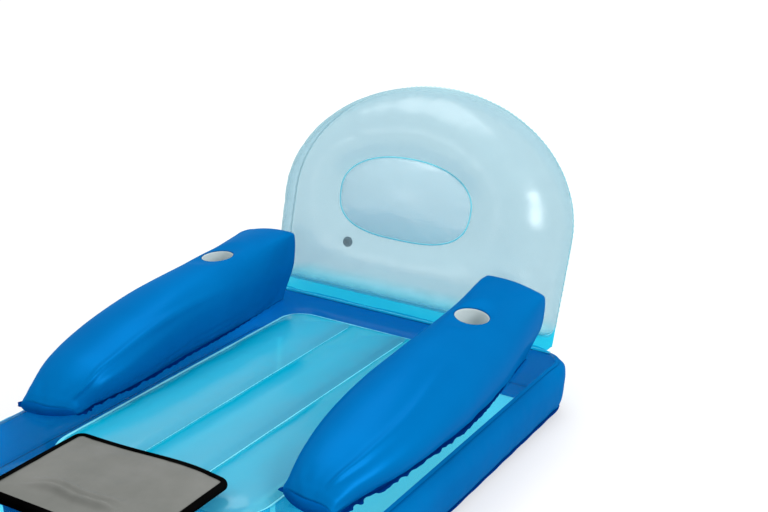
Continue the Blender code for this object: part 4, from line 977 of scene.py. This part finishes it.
def make_foot_band():
    """The flat of the backrest's weld: two fused films, slightly wavy, with the chamber's foot corners."""
    half = BACK_HALF + 0.0015
    xs = half * np.sin(np.linspace(-math.pi / 2, math.pi / 2, 240))
    over = np.clip(abs(xs) - (BACK_HALF - BACK_CORNER), 0.0, BACK_CORNER)
    top = BACK_LOW - 0.0005 + BACK_CORNER - np.sqrt(BACK_CORNER**2 - over**2)
    foot = 0.0011 + 0.010 * smooth(abs(xs), half - 0.012, half)
    rows = []
    for share in np.linspace(0.0, 1.0, 11):
        v = foot + (top - foot) * share
        sway = 0.0009 * ripple(xs / 0.045, v / 0.02, seed=81) * math.sin(math.pi * min(share * 1.2, 1.0))
        rows.append(np.column_stack([xs, -0.0006 + sway, v]))
    faces = sheet_faces(len(rows), len(xs), closed=False)
    name, node = "backrest_foot_weld", "backrest_foot_band"
    # The foot band's film glows: painted light
    piece(name, np.vstack(rows), faces, [BANDFILM], "backrest", node, BAND_WALL, place=BACK)


make_back_sheet("backrest_front_sheet", "backrest_front_film", BACK_FRONT, PILLOW_DIP, -1, 60)
make_back_sheet("backrest_rear_sheet", "backrest_rear_film", BACK_REAR, 0.0, 1, 65)
make_pillow()
make_foot_band()


# Cooler's lid; its plan points run from the hinge
def lid_outline(inset, low=0.0, corner=0.0, steps=10):
    corner = max(LID_CORNER - inset, corner)
    return rounded(LID_HALF - inset, low + inset, low + LID_LENGTH - inset, corner, steps=steps)


def lid_bow(x, y):
    """How far the soft lid's rear edge lifts, right of its middle."""
    wide = np.where(x < 0.085, 0.120, 0.075)
    return 0.0100 * bell(x - 0.085, wide) * smooth(y, 0.03, LID_LENGTH)


def make_lid():
    """The padded grey cover: nearly flat, faintly creased, held by its binding."""
    outline = even(lid_outline(0.002), 0.005)
    flat, faces, _ = fill([outline], outline, step=0.0045, keep_off=0.002)
    edge, along = nearest(flat, outline)
    z = 0.0030 * smooth(edge, 0.004, 0.040)
    z += 0.0006 * puckers(edge, along, 0.008, 0.022, 90)
    x, y = flat[:, 0], flat[:, 1]
    creases = ((0.35, 0.030, 0.0006, 91), (-0.5, 0.045, 0.0007, 92), (1.3, 0.060, 0.0006, 93))
    for angle, wave, size, seed in creases:
        u, v = x * math.cos(angle) + y * math.sin(angle), y * math.cos(angle) - x * math.sin(angle)
        line = ripple(v / wave, u / (wave * 4.5), seed=seed)
        z += size * np.sign(line) * np.abs(line) ** 0.7 * smooth(edge, 0.006, 0.03)

    # The long fold, between two ridges
    crease = y - (0.076 + 0.075 * x + 0.010 * ripple(x / 0.06, seed=94))
    held = smooth(x, -0.125, -0.07) * fall(x, 0.045, 0.085)
    z += held * (0.0115 * bell(crease + 0.011, 0.008) + 0.0080 * bell(crease - 0.010, 0.008))
    z += 0.0007 * ripple(x / 0.014, y / 0.030, seed=95) * smooth(edge, 0.010, 0.04)
    z += lid_bow(x, y)
    vertices, faces = used_only(np.column_stack([x, y + LID_Y, LID_Z + 0.0089 + z]), faces)
    item = piece("cooler_lid_cloth", vertices, faces, [LID_CLOTH], "lid", "cooler_lid_cover", CLOTH_WALL)


def make_lid_tape():
    """The folded tape round the lid: a soft U section that follows the lid's edge."""
    count, width, thick = 420, 0.0120, 0.0011
    top = LID_Z + 0.0110
    middle, tall = (LID_Z + top) / 2, top - LID_Z
    half = tall / 2
    section = [(width, half), (width * 0.5, half + 0.0002)]
    for t in np.linspace(math.pi / 2, 3 * math.pi / 2, 9):
        section.append((half * 0.55 * (1 + math.cos(t)), half * math.sin(t)))
    section += [
        (width * 0.5, -half), (width, -half), (width, -half + thick), (tall * 0.32, -half + thick),
        (tall * 0.32, half - thick), (width, half - thick),
    ]
    rings = []
    for inset, z in section:
        ring = divided(lid_outline(inset, LID_Y, 0.0015, 12), count)[0]
        bow = lid_bow(ring[:, 0], ring[:, 1] - LID_Y)
        rings.append(np.column_stack([ring, middle + z + bow]))
    last = (len(section) - 1) * count
    faces = sheet_faces(len(section), count)
    faces += [[last + i, last + (i + 1) % count, (i + 1) % count, i] for i in range(count)]
    node = "cooler_lid_binding"
    piece("cooler_lid_tape", np.vstack(rings), faces, [TAPE], "lid", node, sharp=50, flip=True)


def lid_slab(name, node, low, high, material):
    """A thin sheet under the cover that bows with it."""
    outline = even(lid_outline(LID_INSET, corner=0.004), 0.006)
    flat, faces, _ = fill([outline], outline, step=0.010, keep_off=0.003)
    flat, faces = used_only(flat, faces)
    x, y = flat[:, 0], flat[:, 1]
    top = np.column_stack([x, y + LID_Y, high + lid_bow(x, y)])
    piece(name, top, faces, [material], "lid", node, high - low)


LINING_LOW = LID_Z + LID_INSET
FOAM_LOW = LINING_LOW + FILM + GAP
make_lid()
lid_slab("cooler_lid_foil", "cooler_lid_lining", LINING_LOW, LINING_LOW + FILM, FOIL)
lid_slab("cooler_lid_padding", "cooler_lid_foam", FOAM_LOW, FOAM_LOW + LID_FOAM, FOAM)
make_lid_tape()


# Solids that are carried over
PLAIN = {
    "cooler_shell": ROYAL, "cooler_insulation": FOAM, "cooler_liner": FOIL, "cooler_rim_binding": TAPE,
    "cooler_hinge_tape": TAPE, "armrest_base_left": RING, "armrest_base_right": RING,
    "backrest_weld_strip": BANDFILM,
}
for node_name, node in NODES.items():
    material = PLAIN.get(node_name)
    # The webs' film glows: painted light
    if "_web_" in node_name:
        material = INNER
    if "_valve_" in node_name:
        material = VALVE
    if material is not None:
        for slot in node.material_slots:
            slot.material = material


# Stage, light and camera
FLOOR_HALF, FLOOR_Z, FLOOR_NEAR, FLOOR_FAR = 30, -0.0005, 1.2, 3.6
FLOOR_NEAR_GLOW, FLOOR_GLOW, WORLD_LIGHT = 0.40, 0.62, 0.76
GREY, WHITE = (0.56, 0.56, 0.56), (1.0, 1.0, 1.0)


def seen_directly(tree):
    """1 for rays that show the background: straight, mirrored or through glass."""
    rays = add(tree, "LightPath").outputs
    seen = rays["Is Camera Ray"]
    for name in ("Is Glossy Ray", "Is Transmission Ray"):
        seen = add(tree, "Math", {0: seen, 1: rays[name]}, operation="MAXIMUM").outputs["Value"]
    return seen


def make_stage():
    """A pale floor that glows white to the eye, more so away from the piece, and lights nothing."""
    inputs = {"Base Color": GREY, "Roughness": 0.9, "Specular IOR Level": 0.0, "Emission Color": WHITE}
    material, tree, shader = new_material("pale_floor", inputs)
    place = add(tree, "TexCoord").outputs["Object"]
    away = add(tree, "VectorMath", {0: place}, operation="LENGTH").outputs["Value"]
    far = map_range(tree, away, FLOOR_NEAR, FLOOR_FAR, FLOOR_NEAR_GLOW, FLOOR_GLOW, "SMOOTHSTEP")
    glow = add(tree, "Math", {0: seen_directly(tree), 1: far}, operation="MULTIPLY").outputs["Value"]
    feed(tree, shader, {"Emission Strength": glow})
    mesh = bpy.data.meshes.new("floor")
    corners = [(x * FLOOR_HALF, y * FLOOR_HALF, FLOOR_Z) for x, y in ((-1, -1), (1, -1), (1, 1), (-1, 1))]
    mesh.from_pydata(corners, [], [(0, 1, 2, 3)])
    mesh.materials.append(material)
    floor = bpy.data.objects.new("floor", mesh)
    bpy.context.scene.collection.objects.link(floor)


def area_light(name, place, target, size, energy):
    lamp = bpy.data.lights.new(name, "AREA")
    lamp.energy = energy
    lamp.shape = "SQUARE"
    lamp.size = size
    item = bpy.data.objects.new(name, lamp)
    bpy.context.scene.collection.objects.link(item)
    item.location = place
    item.rotation_euler = (Vector(target) - Vector(place)).to_track_quat("-Z", "Y").to_euler()


make_stage()
scene = bpy.context.scene
world = bpy.data.worlds.new("studio")
scene.world = world
world.use_nodes = True
tree = world.node_tree
light = map_range(tree, seen_directly(tree), 0.0, 1.0, WORLD_LIGHT, 1.0)
feed(tree, tree.nodes["Background"], {"Color": WHITE, "Strength": light})
area_light("key", (-0.9, 0.9, 3.5), (0.0, 0.1, 0.1), 2.5, 59.0)
area_light("front", (-1.9, -3.4, 1.5), (0.0, 0.6, 0.4), 1.0, 7.0)
area_light("right", (2.7, -0.1, 1.7), (0.0, 0.3, 0.1), 1.3, 45.0)

# The camera, solved in the photograph's pixels
PICTURE_WIDTH, PICTURE_HEIGHT, SENSOR = 768, 512, 36.0
FOCAL, CENTRE_X, CENTRE_Y = 1248.45, 319.21, 378.51
CAMERA_PLACE = (1.2532, -1.681, 1.2195)
azimuth, elevation, roll = math.radians(31.107), math.radians(24.496), math.radians(1.594)
camera_data = bpy.data.cameras.new("camera")
camera_data.sensor_width = SENSOR
camera_data.lens = FOCAL / PICTURE_WIDTH * SENSOR
camera_data.shift_x = (PICTURE_WIDTH / 2 - CENTRE_X) / PICTURE_WIDTH
camera_data.shift_y = (CENTRE_Y - PICTURE_HEIGHT / 2) / PICTURE_WIDTH
camera_data.clip_end = 100.0
camera = bpy.data.objects.new("camera", camera_data)
scene.collection.objects.link(camera)
camera.matrix_world = (
    Matrix.Translation(CAMERA_PLACE) @ Matrix.Rotation(azimuth, 4, "Z")
    @ Matrix.Rotation(math.pi / 2 - elevation, 4, "X") @ Matrix.Rotation(roll, 4, "Z")
)
scene.camera = camera
scene.view_settings.view_transform = "Standard"
scene.cycles.transparent_max_bounces = 24
